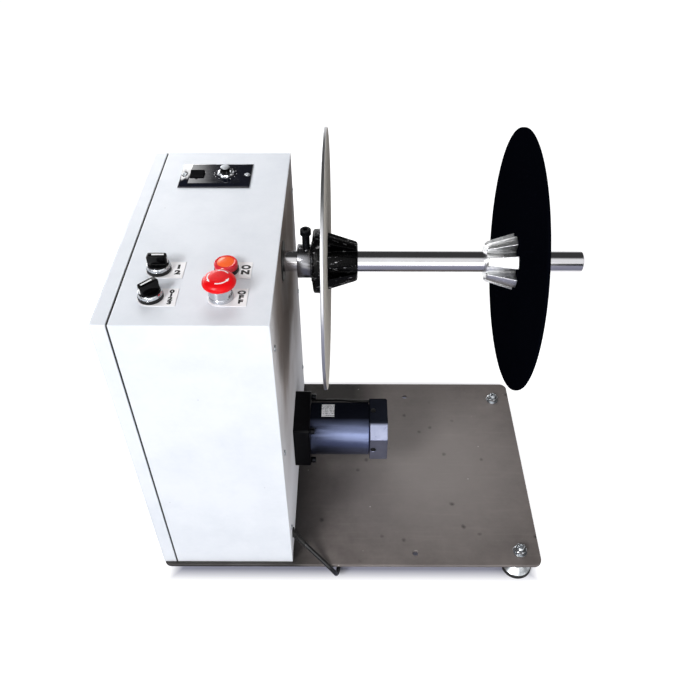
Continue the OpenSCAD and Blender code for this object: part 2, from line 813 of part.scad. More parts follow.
// Outline of the belt's loop at a distance from both pulleys, drawn with the spindle pulley at the origin
module belt_outline(gap) {
    span = z_axis - z_output;
    r1 = spindle_pulley_d / 2 + gap;
    r2 = motor_pulley_d / 2 + gap;
    wrap = acos((r1 - r2) / span);
    polygon(concat(
        [for (i = [0 : belt_steps]) let (a = wrap + (360 - 2 * wrap) * i / belt_steps) r1 * [cos(a), sin(a)]],
        [for (i = [0 : belt_steps]) let (a = -wrap + 2 * wrap * i / belt_steps)
            [span, 0] + r2 * [cos(a), sin(a)]]));
}

module drive_belt() {
    color("#262626") on_spindle() translate([x_pulley + (pulley_w - belt_w) / 2, 0, 0]) rotate([0, 90, 0])
        linear_extrude(belt_w) difference() {
            belt_outline(turn_gap + belt_t);
            belt_outline(turn_gap);
        }
}

// Gear motor

module on_motor() {
    translate([0, y_axis, z_motor]) children();
}

module on_output() {
    translate([0, y_axis, z_output]) children();
}

module on_case_bolts() {
    for (y = [-1, 1], z = [-1, 1])
        translate([0, y_axis + y * case_bolt_pitch / 2, z_motor + z * case_bolt_pitch / 2]) children();
}

// Straight-flanked teeth, thinned at the pitch circle so that a pair runs with play
module gear_outline(teeth) {
    r = gear_module * teeth / 2;
    pitch = PI * gear_module;
    half = 0.19 * pitch;
    flank = tan(20);
    function half_angle(radius, t) = t / radius * 180 / PI;
    tip = r + tooth_add;
    root = r - tooth_ded;
    tip_a = half_angle(tip, half - tooth_add * flank);
    root_a = half_angle(root, half + tooth_ded * flank);
    polygon([for (i = [0 : teeth - 1], q = [[root, -root_a], [tip, -tip_a], [tip, tip_a], [root, root_a]])
        let (a = 360 * i / teeth + q[1]) [q[0] * cos(a), q[0] * sin(a)]]);
}

module gear_case() {
    color("#1d1e22") difference() {
        union() {
            on_motor() translate([x_face, 0, 0]) rotate([0, 90, 0]) translate([-case_w / 2, -case_w / 2, 0])
                linear_extrude(case_l) rounded_rect(case_w, case_w, case_corner_r);
            on_output() along_x(x_inside, x_face + over, pilot_d);
        }
        on_motor() along_x(x_face + case_wall, x_motor + over, 2 * gear_cavity_r);
        on_output() along_x(x_inside - over, x_motor, output_d + 2 * bush_t + 2 * slip);
        on_case_bolts() along_x(x_face - over, x_motor + over, case_bolt_d + 2 * hole_gap);
    }
}

module output_shaft() {
    color("silver") on_output()
        along_x(x_pulley - 2, x_face + case_wall + gear_side_gap + gear_w, output_d);
}

module output_gear() {
    x0 = x_face + case_wall + gear_side_gap;
    color("darkgoldenrod") on_output() difference() {
        translate([x0, 0, 0]) rotate([0, 90, 0]) rotate(180 / gear_teeth)
            linear_extrude(gear_w) gear_outline(gear_teeth);
        along_x(x0 - over, x0 + gear_w + over, output_d + 2 * slip);
    }
}

module motor_bushes() {
    color("peru") {
        on_output() bush(x_inside, x_face + case_wall, output_d);
        on_motor() bush(x_motor, x_motor + front_plate_t, armature_d);
        on_motor() bush(x_cap + cap_l - cap_wall, x_cap + cap_l - skin, armature_d);
    }
}

module bush(x0, x1, bore_d) {
    difference() {
        along_x(x0, x1, bore_d + 2 * bush_t);
        along_x(x0 - over, x1 + over, bore_d + 2 * slip);
    }
}

module motor_body() {
    color("#3c4457") on_motor() difference() {
        along_x(x_motor, x_cap, motor_d);
        along_x(x_motor + front_plate_t, x_cap + over, motor_bore_d);
        along_x(x_motor - over, x_cap, armature_d + 2 * bush_t + 2 * slip);
    }
}

// Square outline with its four long edges cut off at 45 degrees
module cap_outline() {
    h = cap_w / 2;
    c = h - cap_chamfer;
    polygon([[h, c], [c, h], [-c, h], [-h, c], [-h, -c], [-c, -h], [c, -h], [h, -c]]);
}

module motor_end_cap() {
    color("#4a5062") on_motor() difference() {
        union() {
            along_x(x_cap, x_cap + groove_w + over, motor_d - 2 * groove_depth);
            translate([x_cap + groove_w, 0, 0]) rotate([0, 90, 0]) linear_extrude(cap_l - groove_w) cap_outline();
        }
        along_x(x_cap - over, x_cap + cap_l - cap_wall, motor_bore_d);
        along_x(x_cap, x_cap + cap_l - skin, armature_d + 2 * bush_t + 2 * slip);
        brush_rows() cylinder(h = cap_w, d = brush_cap_d + 2 * hole_gap);
    }
}

module brush_rows() {
    for (a = [0 : 90 : 270])
        translate([x_cap + brush_cap_at, 0, 0]) rotate([a, 0, 0]) translate([0, 0, cap_w / 2 - brush_cap_l])
            children();
}

module brush_caps() {
    color("#111214") on_motor() brush_rows() difference() {
        cylinder(h = brush_cap_l + 0.5, d = brush_cap_d);
        translate([-brush_cap_d, -0.6, brush_cap_l - 0.7]) cube([2 * brush_cap_d, 1.2, 2]);
    }
}

module armature() {
    stack_d = motor_bore_d - 2 * air_gap;
    x_pinion = x_face + case_wall + gear_side_gap;
    color("#a0622d") on_motor() {
        along_x(x_motor - over, x_cap + cap_l - skin - over, armature_d);
        along_x(x_motor + 12, x_cap - 22, stack_d);
        along_x(x_cap - 16, x_cap + 2, armature_d * 3);
        translate([x_pinion, 0, 0]) rotate([0, 90, 0]) rotate(180)
            linear_extrude(x_motor - x_pinion) gear_outline(pinion_teeth);
    }
}

lead_points = [
    [x_cap + groove_w, y_axis + lead_start[0], z_motor + lead_start[1]],
    [x_cap - 12, y_axis + lead_start[0], z_motor + lead_start[1]],
    [x_cap - 30, y_axis + 33, z_motor + 32], [x_cap - 46, y_axis + 39, z_motor + 27],
    [x_cap - 60, y_axis + 46, z_motor + 19], [x_cap - 76, y_axis + 53, z_motor + 11],
    [x_face + 26, y_axis + lead_end[0], z_motor + lead_end[1]],
    [x_face + 14, y_axis + lead_end[0], z_motor + lead_end[1]],
    [x_inside - lead_inside, y_axis + lead_end[0], z_motor + lead_end[1]]
];

module at_lead_hole() {
    translate([0, y_axis + lead_end[0], z_motor + lead_end[1]]) children();
}

module motor_lead() {
    color("#151515") swept_tube(lead_points, lead_d, 8, [-1, 0, 0], [-1, 0, 0]);
}

module lead_grommet() {
    color("#1a1a1a") at_lead_hole() difference() {
        union() {
            along_x(x_face, x_face + grommet_h, grommet_d);
            along_x(x_inside, x_face + over, grommet_hole_d - 2 * thread_gap);
        }
        along_x(x_inside - over, x_face + grommet_h + over, lead_d + 2 * thread_gap);
    }
}

// Reels: the shapes start at the hub's free end and run towards the cone

module inner_reel() {
    translate([x_face + hub_gap, y_axis, z_axis]) children();
}

module outer_reel() {
    translate([x_outer_end, y_axis, z_axis]) mirror([1, 0, 0]) children();
}

module on_reel_screws() {
    for (i = [0 : cone_ribs - 1])
        rotate([rib_turn + 360 * i / cone_ribs, 0, 0]) translate([0, 0, reel_screw_r]) children();
}

module hub_shape() {
    difference() {
        union() {
            along_x(0, hub_l, hub_d);
            along_x(hub_l - over, u_cone, spigot_d);
        }
        along_x(-over, u_cone + over, shaft_d + 2 * slip);
        translate([clamp_at, 0, 0]) cylinder(h = hub_d, d = clamp_d + 2 * thread_gap);
    }
}

module backing_shape() {
    r = backing_d / 2;
    difference() {
        rotate([0, 90, 0]) rotate_extrude() polygon([
            [0, u_backing], [hub_d / 2, u_backing], [r - backing_round, u_backing + backing_dish],
            [r, u_backing + backing_dish + backing_round], [r, u_disc], [0, u_disc]]);
        along_x(u_backing - over, u_disc + over, spigot_d + 2 * slip);
        on_reel_screws() {
            along_x(u_backing - over, u_disc + over, m5 + 2 * hole_gap);
            along_x(u_backing - over, u_backing + reel_head_sink, m5_head_d + 2 * hole_gap);
        }
    }
}

module disc_shape() {
    difference() {
        along_x(u_disc, u_cone, disc_d);
        along_x(u_disc - over, u_cone + over, spigot_d + 2 * slip);
        on_reel_screws() along_x(u_disc - over, u_cone + over, m5 + 2 * hole_gap);
    }
}

module cone_shape() {
    u_end = u_cone + cone_l;
    groove = tan(180 / cone_ribs - rib_angle / 2);
    foot = cone_core_d / 2 - 4;
    difference() {
        rotate([0, 90, 0]) rotate_extrude() polygon([
            [0, u_cone], [cone_big_d / 2, u_cone], [cone_shoulder_d / 2, u_end - shoulder_l],
            [cone_shoulder_d / 2 - shoulder_l / 3, u_end - shoulder_l / 4], [cone_small_d / 2, u_end], [0, u_end]]);
        for (i = [0 : cone_ribs - 1]) difference() {
            rotate([rib_turn + 360 * (i + 0.5) / cone_ribs, 0, 0]) translate([u_cone - over, 0, 0])
                rotate([90, 0, 90]) linear_extrude(cone_l + 2 * over) polygon([
                    [-foot * groove, foot], [foot * groove, foot],
                    [cone_big_d * groove, cone_big_d], [-cone_big_d * groove, cone_big_d]]);
            along_x(u_cone - 2 * over, u_end + 2 * over, cone_core_d);
        }
        along_x(u_cone - over, u_end + over, shaft_d + 2 * slip);
        on_reel_screws() along_x(u_cone - over, u_cone + reel_screw_bite + over, m5 + 2 * thread_gap);
    }
}

module reel_screws_shape() {
    on_reel_screws() translate([u_backing + reel_head_sink, 0, 0]) face_left()
        cap_screw(m5, backing_t - reel_head_sink + disc_t + reel_screw_bite, m5_head_d, m5_head_h);
}

module clamp_screw_shape() {
    z0 = shaft_d / 2 + tip_gap + tip_t;
    seat = clamp_top - clamp_head_h;
    translate([clamp_at, 0, seat]) cap_screw(clamp_d, seat - z0, clamp_head_d, clamp_head_h);
}

module clamp_tip_shape() {
    translate([clamp_at, 0, shaft_d / 2 + tip_gap]) cylinder(h = tip_t, d = clamp_d - 1);
}

module inner_hub() {
    color("#8a8d90") inner_reel() hub_shape();
}

module inner_backing() {
    color("#151517") inner_reel() backing_shape();
}

module inner_disc() {
    color("#9b9a98") inner_reel() disc_shape();
}

module inner_cone() {
    color("#1e1e20") inner_reel() cone_shape();
}

module inner_screws() {
    color("#2a2a2a") inner_reel() reel_screws_shape();
}

module inner_clamp_screw() {
    color("#1b1b1d") inner_reel() clamp_screw_shape();
}

module inner_clamp_tip() {
    color("goldenrod") inner_reel() clamp_tip_shape();
}

module outer_hub() {
    color("#8a8d90") outer_reel() hub_shape();
}

module outer_backing() {
    color("#151517") outer_reel() backing_shape();
}

module outer_disc() {
    color("#1c1c20") outer_reel() disc_shape();
}

module outer_cone() {
    color("#d6d8da") outer_reel() cone_shape();
}

module outer_screws() {
    color("#2a2a2a") outer_reel() reel_screws_shape();
}

module outer_clamp_screw() {
    color("#1b1b1d") outer_reel() clamp_screw_shape();
}

module outer_clamp_tip() {
    color("goldenrod") outer_reel() clamp_tip_shape();
}

// Controls on the cabinet's top
z_label = z_top + label_t;

module at_control(x, y) {
    translate([x, y, z_label]) children();
}

// A barrel through the panel with its contact block below, for one control
module control_barrel() {
    deep = label_t + sheet_t + barrel_l;
    translate([0, 0, -deep]) cylinder(h = deep + over, d = barrel_d);
    translate([-block_w / 2, -block_w / 2, -deep - block_h]) cube([block_w, block_w, block_h]);
}

module selector_bezels() {
    color("#d9dbde") for (y = [y_row_1, y_row_2]) at_control(x_selectors, y) difference() {
        union() {
            control_barrel();
            cylinder(h = gasket_h, d = bezel_d + 1);
            translate([0, 0, gasket_h]) cylinder(h = bezel_h * 0.6, d = bezel_d);
            translate([0, 0, gasket_h + bezel_h * 0.6])
                cylinder(h = bezel_h * 0.4, d1 = bezel_d, d2 = bezel_d - bezel_rim);
        }
        translate([0, 0, gasket_h + 1]) cylinder(h = bezel_h, d = bezel_d - 2 * bezel_rim);
        translate([0, 0, -barrel_l / 2]) cylinder(h = barrel_l, d = stem_d + 2 * slip);
    }
}

// Handle with a raised ridge along X, which also shows where it points
module selector_handle() {
    z0 = gasket_h + 1 + turn_gap;
    translate([0, 0, -barrel_l / 2 + 1]) cylinder(h = barrel_l / 2 + z0, d = stem_d);
    translate([0, 0, z0]) cylinder(h = bezel_h, d = handle_d);
    translate([0, 0, z0 + bezel_h - 1]) intersection() {
        cylinder(h = handle_h - bezel_h, d = ridge_l - 2);
        rotate([90, 0, 0]) translate([0, 0, -ridge_w / 2]) linear_extrude(ridge_w) polygon([
            [-ridge_l / 2, 0], [ridge_l / 2, 0], [ridge_l / 2, handle_h - bezel_h - 3],
            [ridge_l / 2 - 3, handle_h - bezel_h], [-ridge_l / 2 + 3, handle_h - bezel_h],
            [-ridge_l / 2, handle_h - bezel_h - 3]]);
    }
}

module rear_selector() {
    color("#161618") at_control(x_selectors, y_row_2) selector_handle();
}

module front_selector() {
    color("#161618") at_control(x_selectors, y_row_1) rotate(front_selector_turn) selector_handle();
}

module lamp_base() {
    color("#1a1a1c") at_control(x_lamp, y_row_2) {
        control_barrel();
        cylinder(h = lamp_base_h, d = bezel_d + 1);
    }
}

module lamp_lens() {
    r = lens_d / 2;
    color("#e23a1e") at_control(x_lamp, y_row_2) translate([0, 0, lamp_base_h]) rotate_extrude() polygon([
        [0, 0], [r, 0], [r, lens_h - lens_edge], [r - lens_edge, lens_h], [0, lens_h]]);
}

module stop_collar() {
    color("#d9dbde") at_control(x_lamp, y_row_1) difference() {
        union() {
            control_barrel();
            cylinder(h = gasket_h, d = bezel_d);
            translate([0, 0, gasket_h]) cylinder(h = collar_h - gasket_h, d = collar_d);
        }
        translate([0, 0, -barrel_l / 2]) cylinder(h = barrel_l + collar_h, d = stem_d * 1.5 + 2 * slip);
    }
}

module stop_stem() {
    color("#c33a30") at_control(x_lamp, y_row_1) difference() {
        translate([0, 0, -barrel_l / 2 + stop_travel + 1])
            cylinder(h = barrel_l / 2 - stop_travel - 1 + collar_h + stop_gap, d = stem_d * 1.5);
        translate([0, 0, collar_h - stem_d]) cylinder(h = collar_h, d = stem_d + 2 * slip);
    }
}

// Mushroom head, hollow underneath so that it can go down over the collar
module stop_head() {
    r = mushroom_d / 2;
    z0 = collar_h + stop_gap;
    roof = z0 + mushroom_h - mushroom_wall;
    color("#d4201c") at_control(x_lamp, y_row_1) {
        difference() {
            rotate_extrude() polygon([
                [0, z0], [r - 3, z0], [r - 1, z0 + 1], [r, z0 + 3.5], [r - 0.6, z0 + 6], [r - 2.5, z0 + 8.5],
                [r - 6, z0 + 10.5], [r - 11, z0 + mushroom_h - 0.4], [0, z0 + mushroom_h]]);
            translate([0, 0, z0 - over]) difference() {
                cylinder(h = roof - z0 + over, d = collar_d + 4 * turn_gap);
                cylinder(h = roof - z0 + 2 * over, d = stem_d * 1.5);
            }
        }
        translate([0, 0, collar_h - stem_d + turn_gap]) cylinder(h = stem_d + stop_gap, d = stem_d);
    }
}

module ring_nuts() {
    color("gray") for (p = control_places) translate([p[0], p[1], z_top - sheet_t - ring_nut_h])
        washer(ring_nut_d, barrel_d + 2 * thread_gap, ring_nut_h);
}

module label_plates() {
    color("#e4e6e8") for (p = control_places) translate([p[0], p[1], z_top]) linear_extrude(label_t) difference() {
        union() {
            circle(d = label_w);
            translate([0, -label_w / 2]) square([label_reach, label_w]);
        }
        circle(d = barrel_d + 2 * hole_gap);
    }
}

// Speed controller

module at_controller() {
    translate([x_controller, y_controller, z_top]) children();
}

module bevel_outline(l, bevel) {
    polygon([
        [-l / 2, 0], [l / 2, 0], [l / 2, controller_lip], [l / 2 - bevel, controller_h],
        [-l / 2 + bevel, controller_h], [-l / 2, controller_lip]]);
}

module controller_body() {
    color("#121316") at_controller() difference() {
        union() {
            intersection() {
                rotate([90, 0, 0]) translate([0, 0, -controller_w / 2])
                    linear_extrude(controller_w) bevel_outline(controller_l, controller_bevel_end);
                rotate([90, 0, 90]) translate([0, 0, -controller_l / 2])
                    linear_extrude(controller_l) bevel_outline(controller_w, controller_bevel_side);
            }
            translate([-controller_can_l / 2, -controller_can_w / 2, -controller_can_h])
                cube([controller_can_l, controller_can_w, controller_can_h + over]);
        }
        at_knob() translate([0, 0, -knob_stem_l - over])
            cylinder(h = 2 * knob_stem_l, d = knob_stem_d + 2 * slip);
        at_rocker() rocker_pocket();
        for (s = [-1, 1]) translate([s * controller_screw_at, 0, 0]) {
            translate([0, 0, -over]) cylinder(h = controller_h, d = m4 + 2 * hole_gap);
            translate([0, 0, controller_lip]) cylinder(h = controller_h, d = m4_head_d + 2 * turn_gap);
        }
    }
}

module at_knob() {
    translate([knob_at[0], knob_at[1], controller_h]) children();
}

module at_rocker() {
    translate([rocker_at[0], rocker_at[1], controller_h]) children();
}

module speed_knob() {
    color("#c9cbce") at_controller() at_knob() {
        translate([0, 0, -knob_stem_l]) cylinder(h = knob_stem_l + 1, d = knob_stem_d);
        translate([0, 0, turn_gap]) cylinder(h = knob_skirt_h, d1 = knob_skirt_d, d2 = knob_skirt_d - 3);
        cylinder(h = knob_h, d = knob_grip_d);
    }
}

// Room for the rocker through its whole tilt, and for its pivot pin
module rocker_pocket() {
    gap = 1;
    translate([-rocker_l / 2 - turn_gap, -rocker_w / 2 - gap, -rocker_h - gap])
        cube([rocker_l + 2 * turn_gap, rocker_w + 2 * gap, rocker_h + 2 * gap]);
    translate([0, 0, -rocker_h / 2]) along_x(-rocker_l / 2 - 3, rocker_l / 2 + 3, rocker_pin_d + 2 * slip);
}

module controller_rocker() {
    color("#1f2024") at_controller() at_rocker() translate([0, 0, -rocker_h / 2]) rotate([rocker_tilt, 0, 0]) {
        along_x(-rocker_l / 2 - 2.5, rocker_l / 2 + 2.5, rocker_pin_d);
        rotate([90, 0, 90]) translate([0, 0, -rocker_l / 2]) linear_extrude(rocker_l) polygon([
            [-rocker_w / 2, 0], [0, -rocker_h / 2], [rocker_w / 2, 0], [rocker_w / 2, rocker_h / 2 + rocker_proud],
            [0, rocker_h / 2 + rocker_proud / 2], [-rocker_w / 2, rocker_h / 2 + rocker_proud]]);
    }
}

// Supply: strain relief, mains lead, stored coil and plug
boot_aim = unit(cord_points[0] - boot_at);

module cord_boot() {
    turn_z = atan2(boot_aim[1], boot_aim[0]);
    turn_y = acos(boot_aim[2]);
    reach = norm(cord_points[0] - boot_at);
    color("#101012") translate(boot_at) {
        rotate([0, 90, 0]) cylinder(h = boot_flange_h, d = boot_flange_d);
        translate([-side_t, 0, 0]) rotate([0, 90, 0])
            cylinder(h = side_t + over, d = boot_hole_d - 2 * thread_gap);
        intersection() {
            rotate([0, turn_y, turn_z]) cylinder(h = reach, d1 = boot_tail_d, d2 = cord_d + 1);
            box([0, -reach, -reach], [2 * reach, reach, reach]);
        }
    }
}

module power_cord() {
    color("#111111") swept_tube(cord_points, cord_d, cord_sides, boot_aim, [0, 1, 0]);
}

// The stored coil spirals in, climbs one layer while it turns round, and spirals out on top
function coil_point(u) =
    let (depth = coil_turns - abs(u - coil_turns),
         r = coil_r - coil_pitch * depth,
         rise = min(1, max(0, (u - coil_turns + 0.25) / 0.5)))
    [coil_centre[0] + r * cos(360 * u), coil_centre[1] + r * sin(360 * u),
     coil_z + coil_pitch * rise * rise * (3 - 2 * rise)];
coil_path = concat(
    [[coil_centre[0] + coil_r, coil_centre[1] - coil_lead_in, coil_z]],
    [for (i = [0 : 2 * coil_turns * coil_rings]) coil_point(i / coil_rings)],
    [[coil_centre[0] + coil_r, coil_centre[1] + coil_lead_out, coil_z + coil_pitch]]);
function coil_gap(p, near) = min([for (i = [0 : len(p) - 1], j = [i + near : 1 : len(p) - 1])
    norm(p[i] - p[j])]) - cord_d;
echo(least_gap_in_coil = coil_gap(coil_path, 14));
echo(lead_length = route_length(cord_points) + route_length(coil_path));

module cord_coil() {
    color("#111111") swept_tube(coil_path, cord_d, coil_sides, [0, 1, 0], [0, 1, 0]);
}

module power_plug() {
    start = coil_path[len(coil_path) - 1];
    color("#18181a") translate(start) rotate([-90, 0, 0]) {
        cylinder(h = plug_tail_l, d1 = cord_d + 0.5, d2 = plug_tail_d);
        translate([0, 0, plug_tail_l]) cylinder(h = plug_taper_l, d1 = plug_tail_d, d2 = plug_body_d);
        translate([0, 0, plug_tail_l + plug_taper_l]) cylinder(h = plug_body_l - plug_taper_l, d = plug_body_d);
        for (s = [-1, 1]) translate([s * plug_pin_gap / 2, 0, plug_tail_l + plug_body_l - over])
            cylinder(h = plug_pin_l + over, d = plug_pin_d);
    }
}

base_plate();
foot_pads();
foot_studs();
foot_nuts();
main_casing();
cover_flange();
side_plate();
left_cover();
base_angle();
panel_screws();
frame_bolts();
inner_plate();
spacer_bars();
spindle_shaft();
bearing_housings();
bearing_rings();
spindle_pulley();
drive_belt();
motor_pulley();
output_shaft();
output_gear();
motor_bushes();
gear_case();
motor_body();
motor_end_cap();
armature();
brush_caps();
motor_lead();
lead_grommet();
inner_hub();
inner_backing();
inner_disc();
inner_cone();
inner_screws();
inner_clamp_screw();
inner_clamp_tip();
outer_hub();
outer_backing();
outer_disc();
outer_cone();
outer_screws();
outer_clamp_screw();
outer_clamp_tip();
controller_body();
speed_knob();
controller_rocker();
selector_bezels();
rear_selector();
front_selector();
lamp_base();
lamp_lens();
stop_collar();
stop_stem();
stop_head();
ring_nuts();
label_plates();
cord_boot();
power_cord();
cord_coil();
power_plug();
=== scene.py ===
# Coil rewinding machine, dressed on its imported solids. Metres, in the same frame as the solids:
# +X along the spindle to its free end, +Y away from the operator, +Z up from the floor.
import math

import bmesh
import bpy
from mathutils import Matrix, Vector


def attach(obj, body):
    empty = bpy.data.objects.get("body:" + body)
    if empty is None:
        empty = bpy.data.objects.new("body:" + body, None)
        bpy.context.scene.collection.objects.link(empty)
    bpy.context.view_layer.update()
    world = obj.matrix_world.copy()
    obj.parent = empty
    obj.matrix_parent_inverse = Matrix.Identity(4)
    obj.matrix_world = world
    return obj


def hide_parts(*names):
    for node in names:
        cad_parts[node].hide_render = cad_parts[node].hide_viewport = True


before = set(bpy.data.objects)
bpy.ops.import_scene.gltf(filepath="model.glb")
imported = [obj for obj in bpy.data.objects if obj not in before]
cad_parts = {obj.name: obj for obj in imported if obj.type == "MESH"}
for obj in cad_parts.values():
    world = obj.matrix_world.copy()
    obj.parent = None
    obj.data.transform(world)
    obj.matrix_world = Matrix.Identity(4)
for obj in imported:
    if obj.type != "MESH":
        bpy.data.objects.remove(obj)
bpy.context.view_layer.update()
MM = 0.001
UP = (0, 0, 1)
ALONG = (1, 0, 0)
WHITE = (1.0, 1.0, 1.0, 1.0)
# Closer points than SAME_POINT are one, and faces with a greater mean width than BROAD_FACE stay flat.
SAME_POINT, BROAD_FACE = 2e-6, 6 * MM

# Base plate
# A 6 mm hot-rolled steel plate with rounded corners, drilled for its feet, its anchors and the cabinet.
# It is bare: mill scale, oil stains, shop dirt and painted shade on top, and a brighter cut edge all round.


def linear(hex_colour):
    """An sRGB hex colour as linear RGBA."""
    parts = [int(hex_colour[i:i + 2], 16) / 255 for i in (1, 3, 5)]
    return tuple(c / 12.92 if c <= 0.04045 else ((c + 0.055) / 1.055) ** 2.4 for c in parts) + (1.0,)


def feed(node, inputs):
    """Fills a node's inputs, each from a value, a socket or the first live output of another node."""
    for key, value in inputs.items():
        if isinstance(value, bpy.types.Node):
            value = next(socket for socket in value.outputs if socket.enabled)
        if isinstance(value, bpy.types.NodeSocket):
            node.id_data.links.new(value, node.inputs[key])
        else:
            node.inputs[key].default_value = value


def add(tree, kind, inputs=None, **settings):
    """Adds one node with its settings and inputs; a kind without Node in its name is a shader node."""
    node = tree.nodes.new(kind if "Node" in kind else "ShaderNode" + kind)
    for key, value in settings.items():
        setattr(node, key, value)
    feed(node, inputs or {})
    return node


def start_finish(name, **shader_values):
    """A new material: its tree, its shader and Object coordinates."""
    material = bpy.data.materials.new(name)
    material.use_nodes = True
    tree = material.node_tree
    shader = tree.nodes["Principled BSDF"]
    for key, value in shader_values.items():
        shader.inputs[key.replace("_", " ")].default_value = value
    place = add(tree, "TexCoord").outputs["Object"]
    return material, tree, shader, place


def surface(shader, colour=None, rough=None, relief=None):
    """Feeds a shader's colour, roughness and relief.

    Each is a node, or a pattern with two limits: the low and high colour, the low and high roughness,
    or the strength and depth of the relief. More (pattern, colour) pairs lie over the first colour.
    """
    tree = shader.id_data
    if isinstance(colour, tuple):
        pattern, low, high, *layers = colour
        colour = linear(low)
        for pattern, shade in [(pattern, high)] + layers:
            colour = add(tree, "Mix", {"Factor": pattern, "A": colour, "B": linear(shade)}, data_type="RGBA")
    if isinstance(rough, tuple):
        rough = add(tree, "MapRange", dict(zip(("Value", "To Min", "To Max"), rough)))
    if isinstance(relief, tuple):
        relief = add(tree, "Bump", dict(zip(("Height", "Strength", "Distance"), relief)))
    chosen = {"Base Color": colour, "Roughness": rough, "Normal": relief}
    feed(shader, {key: node for key, node in chosen.items() if node})


def eased_mesh(node, ease, segments=2, big_edges=None, big_ease=0.0, angle=30.0):
    """A copy of a CAD node's mesh with its sharp edges eased and its broad faces flat."""
    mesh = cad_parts[node].data.copy()
    work = bmesh.new()
    work.from_mesh(mesh)
    bmesh.ops.remove_doubles(work, verts=work.verts, dist=SAME_POINT)
    bmesh.ops.dissolve_limit(work, angle_limit=math.radians(0.5), verts=work.verts, edges=work.edges)
    layer = work.edges.layers.float.new("bevel_weight_edge")
    widest = max(ease, big_ease)
    for edge in work.edges:
        if len(edge.link_faces) != 2 or edge.calc_face_angle(0.0) < math.radians(angle):
            continue
        big = big_edges is not None and big_edges(edge.verts[0].co, edge.verts[1].co)
        edge[layer] = (big_ease if big else ease) / widest
    work.to_mesh(mesh)
    work.free()
    mesh.shade_smooth()
    holder = bpy.data.objects.new("holder", mesh)
    bpy.context.scene.collection.objects.link(holder)
    bevel = holder.modifiers.new("ease", "BEVEL")
    bevel.limit_method = "WEIGHT"
    bevel.width = widest
    bevel.segments = segments
    bevel.use_clamp_overlap = False
    bevel.harden_normals = True
    bevel.miter_outer = "MITER_ARC"
    view = holder.evaluated_get(bpy.context.evaluated_depsgraph_get())
    eased = bpy.data.meshes.new_from_object(view)
    bpy.data.objects.remove(holder)
    points = [vertex.co for vertex in eased.vertices]
    for face in eased.polygons:
        girth = sum((points[first] - points[second]).length for first, second in face.edge_keys)
        face.use_smooth = 2 * face.area / girth < BROAD_FACE
    return eased


def place_piece(name, mesh, body, materials, replaced=()):
    """Puts a finished mesh into the scene on its body."""
    numbers = [0] * len(mesh.polygons)
    mesh.polygons.foreach_get("material_index", numbers)
    mesh.materials.clear()
    for material in materials:
        mesh.materials.append(material)
    mesh.polygons.foreach_set("material_index", numbers)
    piece = bpy.data.objects.new(name, mesh)
    bpy.context.scene.collection.objects.link(piece)
    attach(piece, body)
    if replaced:
        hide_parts(*replaced)
    return piece


def eased_piece(name, node, ease, body, material, segments=2, angle=30.0):
    """Puts a CAD node's eased mesh, its ease in millimetres, in the node's place."""
    place_piece(name, eased_mesh(node, ease * MM, segments, angle=angle), body, [material], [node])


# Hot-rolled plate: mill scale in warm dark grey patches about 70 mm across, oil spots of 2 to 6 mm, a paler
# middle where work is set down, black grime and painted shade beside the cabinet and behind the motor, rub
# marks and a few specks of dust.
plate_steel, tree, shader, place = start_finish("hot_rolled_steel_plate", Metallic=0.15)
patches = add(tree, "TexNoise", {"Vector": place, "Scale": 1 / 0.070, "Detail": 7.0, "Roughness": 0.65})
spread_out = add(tree, "MapRange", {"Value": patches, "From Min": 0.33, "From Max": 0.67})
spot = add(tree, "Mapping", {"Vector": place, "Location": (-0.14, -0.01, 0.0), "Scale": (1.0, 1.0, 0.0)})
reach = add(tree, "VectorMath", {0: spot}, operation="LENGTH")
walked = add(tree, "MapRange", {
    "Value": reach, "From Min": 0.06, "From Max": 0.24, "To Min": 0.75, "To Max": 0.0})
stretched = add(tree, "Mapping", {"Vector": place, "Scale": (12.0, 150.0, 60.0)})
rubs = add(tree, "TexNoise", {"Vector": stretched, "Scale": 1.0, "Detail": 4.0})
rubbed = add(tree, "MapRange", {"Value": rubs, "From Min": 0.54, "From Max": 0.74, "To Max": 0.09})
near = add(tree, "SeparateXYZ", {"Vector": place})
# Painted shade with grime: the plate darkens beside the cabinet's drive side and in the corner behind the
# motor.
cabinet_grime_and_shade = add(tree, "MapRange", {
    "Value": near.outputs["X"], "From Min": -0.095, "From Max": -0.04, "To Min": 0.85, "To Max": 0.0})
beside = add(tree, "MapRange", {
    "Value": near.outputs["X"], "From Min": 0.0, "From Max": 0.06, "To Min": 0.9, "To Max": 0.0})
beyond = add(tree, "MapRange", {"Value": near.outputs["Y"], "From Min": 0.0, "From Max": 0.07})
corner = add(tree, "Math", {0: beside, 1: beyond}, operation="MULTIPLY")
grime_and_painted_shade = add(tree, "Math", {0: cabinet_grime_and_shade, 1: corner}, operation="MAXIMUM")
wander = add(tree, "TexNoise", {"Vector": place, "Scale": 1 / 0.008, "Detail": 3.0})
bent = add(tree, "VectorMath", {
    0: wander.outputs["Color"], 1: (0.006, 0.006, 0.0), 2: place}, operation="MULTIPLY_ADD")
drips = add(tree, "TexVoronoi", {"Vector": bent, "Scale": 1 / 0.042})
oil = add(tree, "MapRange", {
    "Value": drips, "From Min": 0.03, "From Max": 0.12, "To Min": 0.7, "To Max": 0.0})
specks = add(tree, "TexVoronoi", {"Vector": place, "Scale": 1 / 0.034})
dust_and_shade = add(tree, "MapRange", {
    "Value": specks, "From Min": 0.02, "From Max": 0.045, "To Min": 0.7, "To Max": 0.0})
dullness = add(tree, "MapRange", {
    "Value": patches, "From Min": 0.3, "From Max": 0.7, "To Min": 0.62, "To Max": 0.4})
pits = add(tree, "TexNoise", {"Vector": place, "Scale": 1 / 0.0025, "Detail": 3.0})
surface(shader, (spread_out, "#5d5755", "#77706d", (walked, "#8f8987"), (rubbed, "#a39c96"),
                 (grime_and_painted_shade, "#1a1817"), (oil, "#201e1d"), (dust_and_shade, "#d8d4d0")), dullness, (pits, 0.2, 0.0004))
